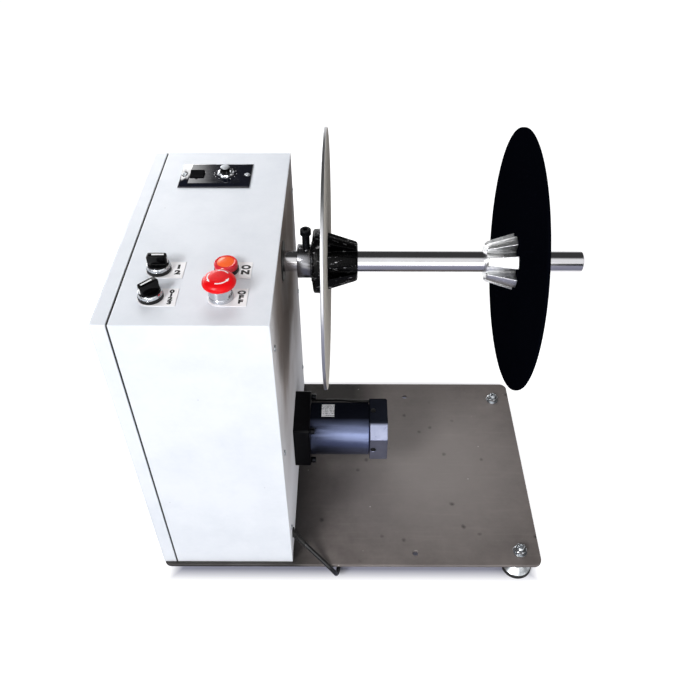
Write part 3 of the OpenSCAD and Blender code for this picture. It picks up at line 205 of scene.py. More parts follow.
eased_piece("base_plate_sheet", "base_plate", 0.9, "machine", plate_steel)

# Levelling feet
# Four swivel feet: a moulded rubber pad in a plated cup, a threaded stud with a hexagon socket in its top,
# a nut and washer above the plate and a lock nut below it.
FOOT_PLACES = [(-0.26875, -0.132), (-0.26875, 0.156), (0.26725, -0.173), (0.26725, 0.156)]
ROUND_STEPS = 64


def closed_mesh(work):
    """The mesh of a finished closed body, with its faces turned outwards."""
    bmesh.ops.recalc_face_normals(work, faces=work.faces)
    mesh = bpy.data.meshes.new("body")
    work.to_mesh(mesh)
    work.free()
    return mesh


def turned(profile, origin, axis, steps=ROUND_STEPS, marks=None):
    """A closed body turned from (radius, height) points; marks gives each step its material."""
    work = bmesh.new()
    up = Vector(axis).normalized()
    side = up.orthogonal().normalized()
    other = up.cross(side)
    rings = []
    for radius, height in profile:
        middle = Vector(origin) + up * height
        if radius < 1e-7:
            rings.append([work.verts.new(middle)])
            continue
        angles = [2 * math.pi * k / steps for k in range(steps)]
        rings.append([work.verts.new(middle + radius * (math.cos(a) * side + math.sin(a) * other))
                      for a in angles])
    for index, (low, high) in enumerate(zip(rings, rings[1:])):
        for k in range(steps):
            corners = [low[k % len(low)], low[(k + 1) % len(low)], high[(k + 1) % len(high)],
                       high[k % len(high)]]
            corners = list(dict.fromkeys(corners))
            if len(corners) > 2:
                face = work.faces.new(corners)
                face.material_index = marks[index] if marks else 0
                face.smooth = True
    return closed_mesh(work)


def rounded(points, radius, steps=4):
    """A profile with its inner corners rounded, as a turning tool or a mould leaves them."""
    result = [points[0]]
    for before, corner, after in zip(points, points[1:], points[2:]):
        back = Vector(before) - Vector(corner)
        ahead = Vector(after) - Vector(corner)
        cut = min(radius, back.length * 0.45, ahead.length * 0.45)
        start = Vector(corner) + back.normalized() * cut
        end = Vector(corner) + ahead.normalized() * cut
        for k in range(steps + 1):
            t = k / steps
            bend = start * (1 - t) ** 2 + Vector(corner) * 2 * t * (1 - t) + end * t ** 2
            result.append((bend.x, bend.y))
    result.append(points[-1])
    return result


def joined(meshes):
    """Several meshes as one, with their material numbers kept."""
    work = bmesh.new()
    for mesh in meshes:
        work.from_mesh(mesh)
        bpy.data.meshes.remove(mesh)
    result = bpy.data.meshes.new("joined")
    work.to_mesh(result)
    work.free()
    return result


def thread(origin, axis, length, radius, pitch, depth, steps=28):
    """A screw thread as one spiral ridge with closed ends."""
    up = Vector(axis).normalized()
    side = up.orthogonal().normalized()
    other = up.cross(side)
    work = bmesh.new()
    rows = []
    turns = length / pitch - 1
    for k in range(int(turns * steps) + 1):
        a = 2 * math.pi * k / steps
        out = math.cos(a) * side + math.sin(a) * other
        rise = pitch * k / steps
        row = [(radius - depth, 0.0), (radius, 0.42 * pitch), (radius, 0.58 * pitch),
               (radius - depth, pitch)]
        rows.append([work.verts.new(Vector(origin) + up * (rise + h) + out * r) for r, h in row])
    for low, high in zip(rows, rows[1:]):
        for j in range(3):
            work.faces.new([low[j], high[j], high[j + 1], low[j + 1]])
        work.faces.new([low[3], high[3], high[0], low[0]])
    work.faces.new(rows[0])
    work.faces.new(rows[-1][::-1])
    return closed_mesh(work)


# Moulded rubber: near black with a soft sheen, a little grey in patches of 12 mm where dust sits.
rubber, tree, shader, place = start_finish("moulded_black_rubber")
dust = add(tree, "TexNoise", {"Vector": place, "Scale": 1 / 0.012, "Detail": 5.0})
dust_and_shade = add(tree, "MapRange", {"Value": dust, "From Min": 0.35, "From Max": 0.7})
grit = add(tree, "TexNoise", {"Vector": place, "Scale": 1 / 0.0012})
surface(shader, (dust_and_shade, "#0d0d0d", "#232221"), (dust, 0.45, 0.8), (grit, 0.1, 0.0002))

# Zinc plate on steel: pale and slightly blue, cloudy in patches of 4 mm, so that nuts glint unevenly.
zinc, tree, shader, place = start_finish("zinc_plated_steel", Metallic=1.0)
clouds = add(tree, "TexNoise", {"Vector": place, "Scale": 1 / 0.004, "Detail": 4.0})
cloudy = add(tree, "MapRange", {"Value": clouds, "From Min": 0.3, "From Max": 0.7})
surface(shader, (cloudy, "#a3a7ab", "#d6dade"), (cloudy, 0.38, 0.22))

pad_profile = [(0, 0), (23, 0), (24, 1), (24, 6.2), (23.4, 7), (22.6, 7), (22.2, 7.4), (13.2, 14.6),
               (12, 16), (5.2, 16), (5.2, 9), (0, 9)]
pad_marks = [0, 0, 0, 0, 0, 1, 1, 1, 1, 1, 1]
pads = [turned([(r * MM, h * MM) for r, h in pad_profile], (x, y, 0), UP, marks=pad_marks)
        for x, y in FOOT_PLACES]
place_piece("foot_pads_moulded", joined(pads), "machine", [rubber, zinc], ["foot_pads"])


def socket_screw(profile, across, depth, steps=48, knurl=0.0, knurled=(0.0, 0.0)):
    """A turned screw whose top holds a hexagon socket; the profile ends at the top's outer edge."""
    work = bmesh.new()
    angles = [2 * math.pi * k / steps for k in range(steps)]
    top = profile[-1][1]

    def ring(radius_at, height):
        return [work.verts.new((radius_at(k) * math.cos(a), radius_at(k) * math.sin(a), height))
                for k, a in enumerate(angles)]

    def hexagon(k):
        return across / 2 / math.cos((angles[k] + math.pi / 6) % (math.pi / 3) - math.pi / 6)

    rings = [[work.verts.new((0, 0, profile[0][1]))]]
    for radius, height in profile[1:]:
        cut = knurl if knurled[0] <= height <= knurled[1] else 0.0
        rings.append(ring(lambda k: radius - cut * (k % 2), height))
    rings.append(ring(lambda k: hexagon(k) + 0.06 * across, top))
    rings.append(ring(hexagon, top - 0.06 * across))
    rings.append(ring(hexagon, top - depth))
    rings.append([work.verts.new((0, 0, top - depth - 0.15 * across))])
    for low, high in zip(rings, rings[1:]):
        for k in range(steps):
            corners = [low[k % len(low)], low[(k + 1) % len(low)], high[(k + 1) % len(high)],
                       high[k % len(high)]]
            corners = list(dict.fromkeys(corners))
            if len(corners) > 2:
                work.faces.new(corners)
    return closed_mesh(work)


def hexagon_nut(across, height, bore, steps=60):
    """A hexagon nut with both faces turned to a 30 degree chamfer; its middle is at the origin."""
    corner = across / 2 / math.cos(math.pi / 6)
    work = bmesh.new()
    angles = [2 * math.pi * k / steps for k in range(steps)]
    flat = across / 2 * 0.96
    slope = math.tan(math.radians(30))
    drop = [height / 2, height / 2 - (across / 2 - flat) * slope, height / 2 - (corner - flat) * slope]
    levels = [(bore, -height / 2 + 0.4 * MM), (bore + 0.4 * MM, -height / 2), (flat, -drop[0]),
              (None, -drop[1]), (None, -drop[2]), (None, drop[2]), (None, drop[1]), (flat, drop[0]),
              (bore + 0.4 * MM, height / 2), (bore, height / 2 - 0.4 * MM)]
    rings = []
    for radius, z in levels:
        row = []
        for a in angles:
            reach = across / 2 / math.cos((a + math.pi / 6) % (math.pi / 3) - math.pi / 6)
            limit = flat + (height / 2 - abs(z)) / slope
            r = min(reach, limit) if radius is None else radius
            row.append(work.verts.new((r * math.cos(a), r * math.sin(a), z)))
        rings.append(row)
    for low, high in zip(rings, rings[1:] + rings[:1]):
        for k in range(steps):
            work.faces.new([low[k], low[(k + 1) % steps], high[(k + 1) % steps], high[k]])
    return closed_mesh(work)


def spread(shape, places, material, size=1.0):
    """Copies of one shape at (point, direction, spin) places, as a plain mesh made by Geometry Nodes."""
    pattern = bpy.data.objects.new("pattern", shape)
    bpy.context.scene.collection.objects.link(pattern)
    points = bpy.data.meshes.new("places")
    points.from_pydata([tuple(p) for p, _, _ in places], [], [])
    turns = points.attributes.new("turn", "FLOAT_VECTOR", "POINT")
    for entry, (_, direction, spin) in zip(turns.data, places):
        aim = Vector(direction).to_track_quat("Z", "Y").to_matrix() @ Matrix.Rotation(spin, 3, "Z")
        entry.vector = aim.to_euler()
    carrier = bpy.data.objects.new("carrier", points)
    bpy.context.scene.collection.objects.link(carrier)
    tree = bpy.data.node_groups.new("repeated_fastener", "GeometryNodeTree")
    face = tree.interface
    face.new_socket("Places", in_out="INPUT", socket_type="NodeSocketGeometry")
    shape_input = face.new_socket("Fastener", in_out="INPUT", socket_type="NodeSocketObject")
    size_input = face.new_socket("Size", in_out="INPUT", socket_type="NodeSocketFloat")
    face.new_socket("Result", in_out="OUTPUT", socket_type="NodeSocketGeometry")
    given = add(tree, "NodeGroupInput").outputs
    source = add(tree, "GeometryNodeObjectInfo", {"Object": given["Fastener"]})
    turn = add(tree, "GeometryNodeInputNamedAttribute", {"Name": "turn"}, data_type="FLOAT_VECTOR")
    aimed = add(tree, "FunctionNodeEulerToRotation", {"Euler": turn.outputs["Attribute"]})
    copies = add(tree, "GeometryNodeInstanceOnPoints", {
        "Points": given["Places"], "Instance": source.outputs["Geometry"],
        "Rotation": aimed.outputs["Rotation"], "Scale": given["Size"]})
    real = add(tree, "GeometryNodeRealizeInstances", {"Geometry": copies.outputs["Instances"]})
    clad = add(tree, "GeometryNodeSetMaterial",
               {"Geometry": real.outputs["Geometry"], "Material": material})
    add(tree, "NodeGroupOutput", {"Result": clad.outputs["Geometry"]})
    modifier = carrier.modifiers.new("repeat", "NODES")
    modifier.node_group = tree
    modifier[shape_input.identifier] = pattern
    modifier[size_input.identifier] = size
    view = carrier.evaluated_get(bpy.context.evaluated_depsgraph_get())
    result = bpy.data.meshes.new_from_object(view)
    carrier.modifiers.remove(modifier)
    bpy.data.objects.remove(carrier)
    bpy.data.objects.remove(pattern)
    return result


def smooth_by_angle(mesh, degrees=35.0):
    """Shades smooth, but keeps edges sharper than the angle."""
    mesh.shade_smooth()
    mesh.set_sharp_from_angle(angle=math.radians(degrees))
    return mesh


def millimetres(points):
    """Profile points given in millimetres, in metres."""
    return [(r * MM, h * MM) for r, h in points]


def lathe(profile, ease, origin, axis=UP, steps=ROUND_STEPS):
    """A turned body whose profile and the ease of its corners are in millimetres."""
    return turned(rounded(millimetres(profile), ease * MM), origin, axis, steps)


stud_body = socket_screw(millimetres([(0, 8), (4.3, 8), (4.3, 57.6), (5.0, 57.6), (5.0, 58.4), (4.4, 59)]),
                         5.5 * MM, 4 * MM)
stud = joined([stud_body, thread((0, 0, 12 * MM), UP, 46 * MM, 5 * MM, 1.5 * MM, 0.8 * MM)])
studs = spread(stud, [((x, y, 0), UP, 0.4) for x, y in FOOT_PLACES], zinc)
place_piece("foot_studs_threaded", smooth_by_angle(studs), "machine", [zinc], ["foot_studs"])
nut_places = [((x, y, z), UP, 0.3) for x, y in FOOT_PLACES for z in (0.050, 0.034)]
nuts = spread(hexagon_nut(17 * MM, 8 * MM, 5.1 * MM), nut_places, zinc)
washer_profile = [(5.1, 1), (5.1, 0), (11, 0), (11, 2), (5.1, 2), (5.1, 1)]
washers = spread(lathe(washer_profile, 0.4, (0, 0, 0)),
                 [((x, y, 0.044), UP, 0.0) for x, y in FOOT_PLACES], zinc)
place_piece("foot_nuts_plated", smooth_by_angle(joined([nuts, washers])), "machine",
            [zinc], ["foot_nuts"])

# Cabinet
# A casing bent from 2 mm steel sheet forms the front, top and back. A tray-shaped cover closes the left end
# and a 5 mm plate the drive side. The sheets are powder coated; a round rubber cord fills the seam beside
# the cover.
X_LEFT, X_FACE = -0.30075, -0.09675
Y_FRONT, Y_BACK = -0.192, 0.198
Z_PLATE, Z_TOP = 0.044, 0.546
SEAM_MIDDLE = X_LEFT + 0.02075
NEAR = 0.01 * MM


def on_bend(first, second):
    """True for the casing's two long bends and for the cover's rim."""
    middle = (first + second) / 2
    near_top = abs(middle.z - Z_TOP) < NEAR
    near_wall = min(abs(middle.y - Y_FRONT), abs(middle.y - Y_BACK)) < NEAR
    near_left = abs(middle.x - X_LEFT) < NEAR
    return near_top + near_wall + near_left > 1


# Powder coat over sheet steel: cool white with an orange-peel skin of about 1.2 mm and faint grey handling
# marks in patches of 90 mm. It gives the eye a broad soft gloss.
powder_coat, tree, shader, place = start_finish("white_powder_coat", Coat_Weight=0.2, Coat_Roughness=0.3)
handling = add(tree, "TexNoise", {"Vector": place, "Scale": 1 / 0.090, "Detail": 8.0, "Roughness": 0.7})
handled = add(tree, "MapRange", {"Value": handling, "From Min": 0.42, "From Max": 0.75})
chips = add(tree, "TexVoronoi", {"Vector": place, "Scale": 1 / 0.030})
chipped = add(tree, "MapRange", {
    "Value": chips, "From Min": 0.02, "From Max": 0.035, "To Min": 0.5, "To Max": 0.0})
peel = add(tree, "TexNoise", {"Vector": place, "Scale": 1 / 0.0012, "Detail": 2.0})
surface(shader, (handled, "#dfe3ea", "#d4d9e1", (chipped, "#8f949b")), (handling, 0.34, 0.52),
        (peel, 0.06, 0.0002))

# The same coat on the drive plate, with brushed lines 0.4 mm apart and a painted dark brown reflection
# of the reel disc with painted shade on its upper middle, which fades out in a strip at the front, at the
# foot and in a paler rim at the top and the back.
drive_plate, tree, shader, place = start_finish("drive_plate_coat_painted_reflection", Specular_IOR_Level=0.0)
# Painted reflection and painted shade: dark brown on the plate's upper middle, fading to the front, the foot,
# the top and the back.
reflection_clouds = add(tree, "TexNoise", {"Vector": place, "Scale": 1 / 0.120, "Detail": 5.0})
spot = add(tree, "SeparateXYZ", {"Vector": place})
reflection_rise = add(tree, "MapRange", {
    "Value": spot.outputs["Z"], "From Min": 0.14, "From Max": 0.36, "To Min": 0.0, "To Max": 1.9})
inward = add(tree, "MapRange", {
    "Value": spot.outputs["Y"], "From Min": -0.19, "From Max": -0.11, "To Min": 0.45, "To Max": 1.0})
rear = add(tree, "MapRange", {
    "Value": spot.outputs["Y"], "From Min": 0.13, "From Max": 0.19, "To Min": 1.0, "To Max": 0.55})
crest = add(tree, "MapRange", {
    "Value": spot.outputs["Z"], "From Min": 0.515, "From Max": 0.545, "To Min": 1.0, "To Max": 0.88})
front_faded_reflection = add(tree, "Math", {0: reflection_rise, 1: inward}, operation="MULTIPLY")
edged = add(tree, "Math", {0: rear, 1: crest}, operation="MULTIPLY")
held = add(tree, "Math", {0: front_faded_reflection, 1: edged}, operation="MULTIPLY")
painted_disc_reflection = add(tree, "Math", {0: held, 1: reflection_clouds}, operation="MULTIPLY")
lines = add(tree, "Mapping", {"Vector": place, "Scale": (1.0, 2500.0, 20.0)})
brushed = add(tree, "TexNoise", {"Vector": lines, "Scale": 1.0, "Detail": 2.0})
surface(shader, (painted_disc_reflection, "#e4e5eb", "#968f8d"), (brushed, 0.36, 0.58), (brushed, 0.06, 0.0001))

place_piece("cabinet_casing", eased_mesh("main_casing", 0.35 * MM, 3, on_bend, 2.6 * MM), "machine",
            [powder_coat], ["main_casing"])
place_piece("cabinet_cover", eased_mesh("left_cover", 0.35 * MM, 3, on_bend, 2.6 * MM), "machine",
            [powder_coat], ["left_cover"])
eased_piece("drive_side_plate", "side_plate", 0.5, "machine", drive_plate)
SEAL_IN = 1.1 * MM
seal_low, seal_high = Z_PLATE + 0.002, Z_TOP - SEAL_IN


def tube(points, radius, steps=16):
    """A closed round tube along points, carried without twist, with a UV along its length."""
    work = bmesh.new()
    uv = work.loops.layers.uv.new("along")
    tangents = [(points[min(i + 1, len(points) - 1)] - points[max(i - 1, 0)]).normalized()
                for i in range(len(points))]
    side = tangents[0].orthogonal().normalized()
    rings, runs, run = [], [], 0.0
    for i, (point, along) in enumerate(zip(points, tangents)):
        side = (side - along * side.dot(along)).normalized()
        other = along.cross(side)
        angles = [2 * math.pi * k / steps for k in range(steps)]
        rings.append([work.verts.new(point + radius * (math.cos(a) * side + math.sin(a) * other))
                      for a in angles])
        run += (point - points[i - 1]).length if i else 0.0
        runs.append(run)
    for i in range(len(rings) - 1):
        for k in range(steps):
            nxt = (k + 1) % steps
            face = work.faces.new([rings[i][k], rings[i][nxt], rings[i + 1][nxt], rings[i + 1][k]])
            face.smooth = True
            for loop, (u, v) in zip(face.loops, [(k, i), (k + 1, i), (k + 1, i + 1), (k, i + 1)]):
                loop[uv].uv = (u / steps, runs[v])
    work.faces.new(rings[0][::-1])
    work.faces.new(rings[-1])
    return closed_mesh(work)


seal_route = rounded([(Y_FRONT + SEAL_IN, seal_low), (Y_FRONT + SEAL_IN, seal_high),
                      (Y_BACK - SEAL_IN, seal_high), (Y_BACK - SEAL_IN, seal_low)], 3 * MM, 6)
seal = tube([Vector((SEAM_MIDDLE, y, z)) for y, z in seal_route], 0.95 * MM, 10)
place_piece("seam_seal", seal, "machine", [rubber])

# Fixings of the cabinet
# Pan head screws with a cross recess hold the sheets and the controller, and black cap screws hold the
# frame. Inside stand the floor angle, the inner bearing plate and its four spacer bars.


def finish_node(material, *names):
    """Gives CAD nodes that keep their own shape a finish."""
    for name in names:
        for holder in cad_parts[name].material_slots:
            holder.material = material


# Black oxide on steel: blue-black and faintly oily, paler in specks of 1 mm where the coat is thin.
black_oxide, tree, shader, place = start_finish("black_oxide_steel", Metallic=0.85)
thin = add(tree, "TexNoise", {"Vector": place, "Scale": 1 / 0.001, "Detail": 3.0})
bared = add(tree, "MapRange", {"Value": thin, "From Min": 0.5, "From Max": 0.75})
surface(shader, (bared, "#0d0e12", "#3a3d44"), (thin, 0.28, 0.46))

# Sawn and painted frame steel: blue-grey with streaks 8 mm apart from the roller.
frame_paint, tree, shader, place = start_finish("painted_frame_steel", Metallic=0.4)
streaks = add(tree, "Mapping", {"Vector": place, "Scale": (40.0, 125.0, 40.0)})
rolled = add(tree, "TexNoise", {"Vector": streaks, "Scale": 1.0, "Detail": 4.0})
surface(shader, (rolled, "#4f565d", "#8a9097"), (rolled, 0.4, 0.6))

eased_piece("panel_screws_plated", "panel_screws", 0.22, "machine", zinc)
eased_piece("frame_cap_screws", "frame_bolts", 0.5, "machine", black_oxide)
finish_node(powder_coat, "cover_flange")
finish_node(frame_paint, "base_angle", "inner_plate", "spacer_bars")

# Spindle
# A ground 28 mm steel shaft runs in two flanged cast housings inside the cabinet and stands 400 mm out of
# it. A flat belt drives its pulley from the gear motor. The free end has a chamfer and a centre hole from
# the lathe.
Y_AXIS, Z_AXIS, Z_MOTOR = -0.010, 0.500, 0.155
X_SHAFT, X_SHAFT_END = -0.23175, 0.30325

# Ground steel: bright, with grinding rings 0.3 mm apart round the bar and a faint warm haze in patches of
# 40 mm. It gives the eye one hard streak from each lamp and dark bands between them.
ground_steel, tree, shader, place = start_finish("ground_spindle_steel", Metallic=1.0)
film = add(tree, "TexNoise", {"Vector": place, "Scale": 1 / 0.040, "Detail": 4.0})
rings = add(tree, "Mapping", {"Vector": place, "Scale": (3300.0, 6.0, 6.0)})
ground = add(tree, "TexNoise", {"Vector": rings, "Scale": 1.0, "Detail": 2.0})
surface(shader, (film, "#bebbbb", "#d3d4da"), (ground, 0.08, 0.18), (ground, 0.03, 0.00005))

shaft_length = (X_SHAFT_END - X_SHAFT) / MM
shaft_profile = rounded([(0, 4), (1.6, 3), (1.6, 2.6), (3.6, 0), (12.5, 0), (14, 1.5),
                         (14, shaft_length / 2), (14, shaft_length - 1.5), (12.5, shaft_length),
                         (3.6, shaft_length), (1.6, shaft_length - 2.6), (1.6, shaft_length - 3),
                         (0, shaft_length - 4)], 0.2)
shaft = turned(millimetres(shaft_profile), (X_SHAFT, Y_AXIS, Z_AXIS), ALONG, 96)
place_piece("spindle_bar", smooth_by_angle(shaft, 25), "spindle", [ground_steel],
            ["spindle_shaft"])

# Black-painted cast iron: rough and dark, with a sand skin of 1.5 mm.
cast_iron, tree, shader, place = start_finish("painted_cast_iron", Roughness=0.6)
sand = add(tree, "TexNoise", {"Vector": place, "Scale": 1 / 0.0015, "Detail": 5.0})
surface(shader, (sand, "#0e0f11", "#242628"), relief=(sand, 0.35, 0.0004))

# Turned aluminium: pale with tool rings 0.5 mm apart.
turned_aluminium, tree, shader, place = start_finish("turned_aluminium", Metallic=1.0)
tooling = add(tree, "TexNoise", {"Vector": place, "Scale": 1 / 0.0005, "Detail": 2.0})
surface(shader, (tooling, "#9fa3a8", "#c6cacf"), (tooling, 0.25, 0.45))

finish_node(cast_iron, "bearing_housings")
finish_node(ground_steel, "bearing_rings")
seal_profile = [(14.6, 0.6), (14.6, 0), (27.5, 0), (27.5, 0.9), (26.7, 1.3), (14.6, 1.3), (14.6, 0.6)]
dust_seal = lathe(seal_profile, 0.2, (X_FACE, Y_AXIS, Z_AXIS), ALONG, 96)
place_piece("spindle_dust_seal", smooth_by_angle(dust_seal, 40), "machine", [rubber])
finish_node(turned_aluminium, "spindle_pulley", "motor_pulley")
eased_piece("flat_drive_belt", "drive_belt", 0.6, "machine", rubber)

# Gear motor
# A square black gear case bolts to the drive side with four long cap screws. The painted motor tube stands
# on it and ends in a chamfered aluminium cap with four brush caps. A small paper sticker sits on top of the
# tube.
X_MOTOR, X_CAP = -0.07075, 0.02425

# Black stoved enamel on the die-cast gear case: deep black, a low orange peel of 2 mm and worn grey specks.
case_enamel, tree, shader, place = start_finish("black_gear_case_enamel", Specular_IOR_Level=0.12)
wear = add(tree, "TexNoise", {"Vector": place, "Scale": 1 / 0.006, "Detail": 6.0, "Roughness": 0.7})
worn = add(tree, "MapRange", {"Value": wear, "From Min": 0.55, "From Max": 0.8})
peel = add(tree, "TexNoise", {"Vector": place, "Scale": 1 / 0.002})
surface(shader, (worn, "#030306", "#14151a"), (wear, 0.25, 0.55), (peel, 0.08, 0.0002))

# Slate-blue motor paint over rolled tube: metallic flake of 0.3 mm under a satin coat, so that one long
# soft lavender streak runs along it, with a painted dark reflection on its upper rear side and painted shade
# towards the gear case.
motor_paint, tree, shader, place = start_finish("slate_blue_motor_paint", Specular_IOR_Level=0.0)
flake = add(tree, "TexVoronoi", {"Vector": place, "Scale": 1 / 0.0003})
clouds = add(tree, "TexNoise", {"Vector": place, "Scale": 1 / 0.030, "Detail": 4.0})
# Painted dark reflection: the upper rear side is painted near black, matt and not metallic.
rear = add(tree, "VectorMath", {0: place, 1: (0.0, 0.69, 0.72)}, operation="DOT_PRODUCT")
painted_dark_reflection = add(tree, "MapRange", {"Value": rear, "From Min": 0.1087, "From Max": 0.1247, "To Max": 0.97})
length = add(tree, "SeparateXYZ", {"Vector": place})
# Painted shade: the tube is darker towards the gear case and the cabinet.
dust_and_shade = add(tree, "MapRange", {
    "Value": length.outputs["X"], "From Min": X_MOTOR, "From Max": X_CAP, "To Min": 0.6, "To Max": 0.0})
painted_reflection_and_shade = add(tree, "Math", {0: painted_dark_reflection, 1: dust_and_shade}, operation="MAXIMUM")
bare = add(tree, "MapRange", {"Value": painted_dark_reflection, "To Min": 0.95, "To Max": 0.0})
feed(shader, {"Metallic": bare})
dullness = add(tree, "MapRange", {"Value": flake, "To Min": 0.2, "To Max": 0.32})
matt = add(tree, "Math", {0: dullness, 1: painted_dark_reflection}, operation="MAXIMUM")
surface(shader, (clouds, "#5c6584", "#7f88a8", (painted_reflection_and_shade, "#050508")), matt)

# Die-cast aluminium with a thin blue-grey wash: smooth, with flow marks of 15 mm, and a painted dark
# reflection on its upper rear side.
cap_casting, tree, shader, place = start_finish("washed_die_cast_cap", Specular_IOR_Level=0.0)
flow = add(tree, "TexNoise", {"Vector": place, "Scale": 1 / 0.015, "Detail": 5.0})
# Painted dark reflection on the cap's upper rear side, matt and not metallic.
rear = add(tree, "VectorMath", {0: place, 1: (0.0, 0.69, 0.72)}, operation="DOT_PRODUCT")
painted_dark_reflection = add(tree, "MapRange", {"Value": rear, "From Min": 0.1137, "From Max": 0.1187, "To Max": 0.97})
bare = add(tree, "MapRange", {"Value": painted_dark_reflection, "To Min": 0.95, "To Max": 0.0})
feed(shader, {"Metallic": bare})
dullness = add(tree, "MapRange", {"Value": flow, "To Min": 0.22, "To Max": 0.36})
matt = add(tree, "Math", {0: dullness, 1: painted_dark_reflection}, operation="MAXIMUM")
grain = add(tree, "TexNoise", {"Vector": place, "Scale": 1 / 0.001})
surface(shader, (flow, "#80859d", "#a2a7bd", (painted_dark_reflection, "#090c14")), matt, (grain, 0.08, 0.0001))

# Hard black moulding: glossy on its raised edges, with a spark-eroded grain of 0.6 mm.
black_moulding, tree, shader, place = start_finish("black_moulding", Specular_IOR_Level=0.3)
spark = add(tree, "TexNoise", {"Vector": place, "Scale": 1 / 0.0006, "Detail": 2.0})
surface(shader, (spark, "#030304", "#0c0c0e"), (spark, 0.3, 0.5), (spark, 0.06, 0.0001))

eased_piece("gear_case_cast", "gear_case", 1.0, "machine", case_enamel, segments=3)
eased_piece("motor_tube", "motor_body", 0.8, "machine", motor_paint, segments=3)
eased_piece("motor_cap_cast", "motor_end_cap", 1.0, "machine", cap_casting, segments=3)
eased_piece("brush_cap_screws", "brush_caps", 0.4, "machine", black_moulding)
eased_piece("lead_grommet_moulded", "lead_grommet", 0.6, "machine", rubber)

# Matt white label paper: faint fibres of 2 mm and grey printed lines 3.4 mm apart, too small to read.
label_paper, tree, shader, place = start_finish("white_label_paper", Roughness=0.7)
fibre = add(tree, "TexNoise", {"Vector": place, "Scale": 1 / 0.002, "Detail": 6.0})
rows = add(tree, "TexWave", {"Vector": place, "Scale": 0.314 / 0.0034}, bands_direction="Y")
print_line = add(tree, "MapRange", {"Value": rows.outputs["Fac"], "From Min": 0.5, "From Max": 0.6})
small = add(tree, "Mapping", {"Vector": place, "Scale": (700.0, 150.0, 150.0)})
strokes = add(tree, "TexNoise", {"Vector": small, "Scale": 1.0, "Detail": 2.0})
stroke = add(tree, "MapRange", {"Value": strokes, "From Min": 0.46, "From Max": 0.52, "To Max": 0.8})
inked = add(tree, "Math", {0: print_line, 1: stroke}, operation="MULTIPLY")
surface(shader, (fibre, "#e9eaee", "#fbfbfd", (inked, "#5d5f68")))
STICKER_X, STICKER_SIDE, STICKER_R = -0.0525, 0.0206, 0.0432
sticker_angles = [math.radians(75.5 + 39.0 * k / 16) for k in range(17)]
sheet = bmesh.new()
rows = []
for radius in (STICKER_R, STICKER_R - 0.35 * MM):
    for x in (STICKER_X, STICKER_X + STICKER_SIDE):
        rows.append([sheet.verts.new((x, Y_AXIS - radius * math.cos(a), Z_MOTOR + radius * math.sin(a)))
                     for a in sticker_angles])
for low, high in ((0, 1), (1, 3), (3, 2), (2, 0)):
    for k in range(16):
        sheet.faces.new([rows[low][k], rows[low][k + 1], rows[high][k + 1], rows[high][k]])
for k in (0, 16):
    sheet.faces.new([rows[0][k], rows[1][k], rows[3][k], rows[2][k]])
sticker = closed_mesh(sheet)
place_piece("motor_sticker", smooth_by_angle(sticker), "machine", [label_paper])


def smooth_route(points, parts=4):
    """A Catmull-Rom curve through the points."""
    result = []
    for i in range(len(points) - 1):
        p0, p1 = points[max(i - 1, 0)], points[i]
        p2, p3 = points[i + 1], points[min(i + 2, len(points) - 1)]
        for k in range(parts):
            t = k / parts
            result.append(0.5 * (2 * p1 + (p2 - p0) * t + (2 * p0 - 5 * p1 + 4 * p2 - p3) * t * t
                                 + (3 * p1 - p0 - 3 * p2 + p3) * t ** 3))
    return result + [points[-1]]


motor_lead_points = [(25.75, 21, 188), (12.25, 21, 188), (-5.75, 23, 187), (-21.75, 29, 182),
                     (-35.75, 36, 174), (-51.75, 43, 166), (-70.75, 46, 163), (-82.75, 46, 163),
                     (-113.75, 46, 163)]
motor_lead_route = smooth_route([Vector(p) * MM for p in motor_lead_points], 5)
place_piece("motor_lead_sheathed", tube(motor_lead_route, 2.25 * MM, 14), "machine",
            [rubber], ["motor_lead"])

# Sintered bronze and the copper windings inside the motor, which only show when it is taken apart.
bronze, tree, shader, place = start_finish("sintered_bronze", Metallic=1.0)
pores = add(tree, "TexNoise", {"Vector": place, "Scale": 1 / 0.0008, "Detail": 4.0})
surface(shader, (pores, "#7d5a33", "#b98a55"), (pores, 0.3, 0.55))
finish_node(bronze, "motor_bushes", "armature", "output_gear")
finish_node(ground_steel, "output_shaft")

# Reels
# Two alike reels slide on the spindle. Each is a turned hub with a knurled clamp screw, a rough cast
# backing flange, a flat 345 mm disc and a ribbed cone that centres the coil, held together by screws
# through the ribs.

# Turned hub steel: mid grey, oily, with tool rings 0.4 mm apart and brown patches of 10 mm.
hub_steel, tree, shader, place = start_finish("turned_hub_steel", Metallic=1.0)
rings = add(tree, "Mapping", {"Vector": place, "Scale": (2500.0, 30.0, 30.0)})
tooling = add(tree, "TexNoise", {"Vector": rings, "Scale": 1.0, "Detail": 2.0})
stain = add(tree, "TexNoise", {"Vector": place, "Scale": 1 / 0.010, "Detail": 5.0})
surface(shader, (stain, "#6a696b", "#8d8e93"), (tooling, 0.16, 0.32), (tooling, 0.08, 0.0001))

# Black-painted sand casting: deep black over a coarse skin of 2.5 mm, rubbed to bare metal in streaks of 11
# mm.
black_casting, tree, shader, place = start_finish("black_sand_casting", Specular_IOR_Level=0.1)
skin = add(tree, "TexNoise", {"Vector": place, "Scale": 1 / 0.0025, "Detail": 6.0, "Roughness": 0.6})
drawn = add(tree, "Mapping", {"Vector": place, "Scale": (90.0, 280.0, 280.0)})
rubs = add(tree, "TexNoise", {"Vector": drawn, "Scale": 1.0, "Detail": 4.0})
rubbed = add(tree, "MapRange", {"Value": rubs, "From Min": 0.62, "From Max": 0.72})
feed(shader, {"Metallic": rubbed})
surface(shader, (rubbed, "#030304", "#b4b4b7"), (skin, 0.4, 0.12), (skin, 0.6, 0.0008))

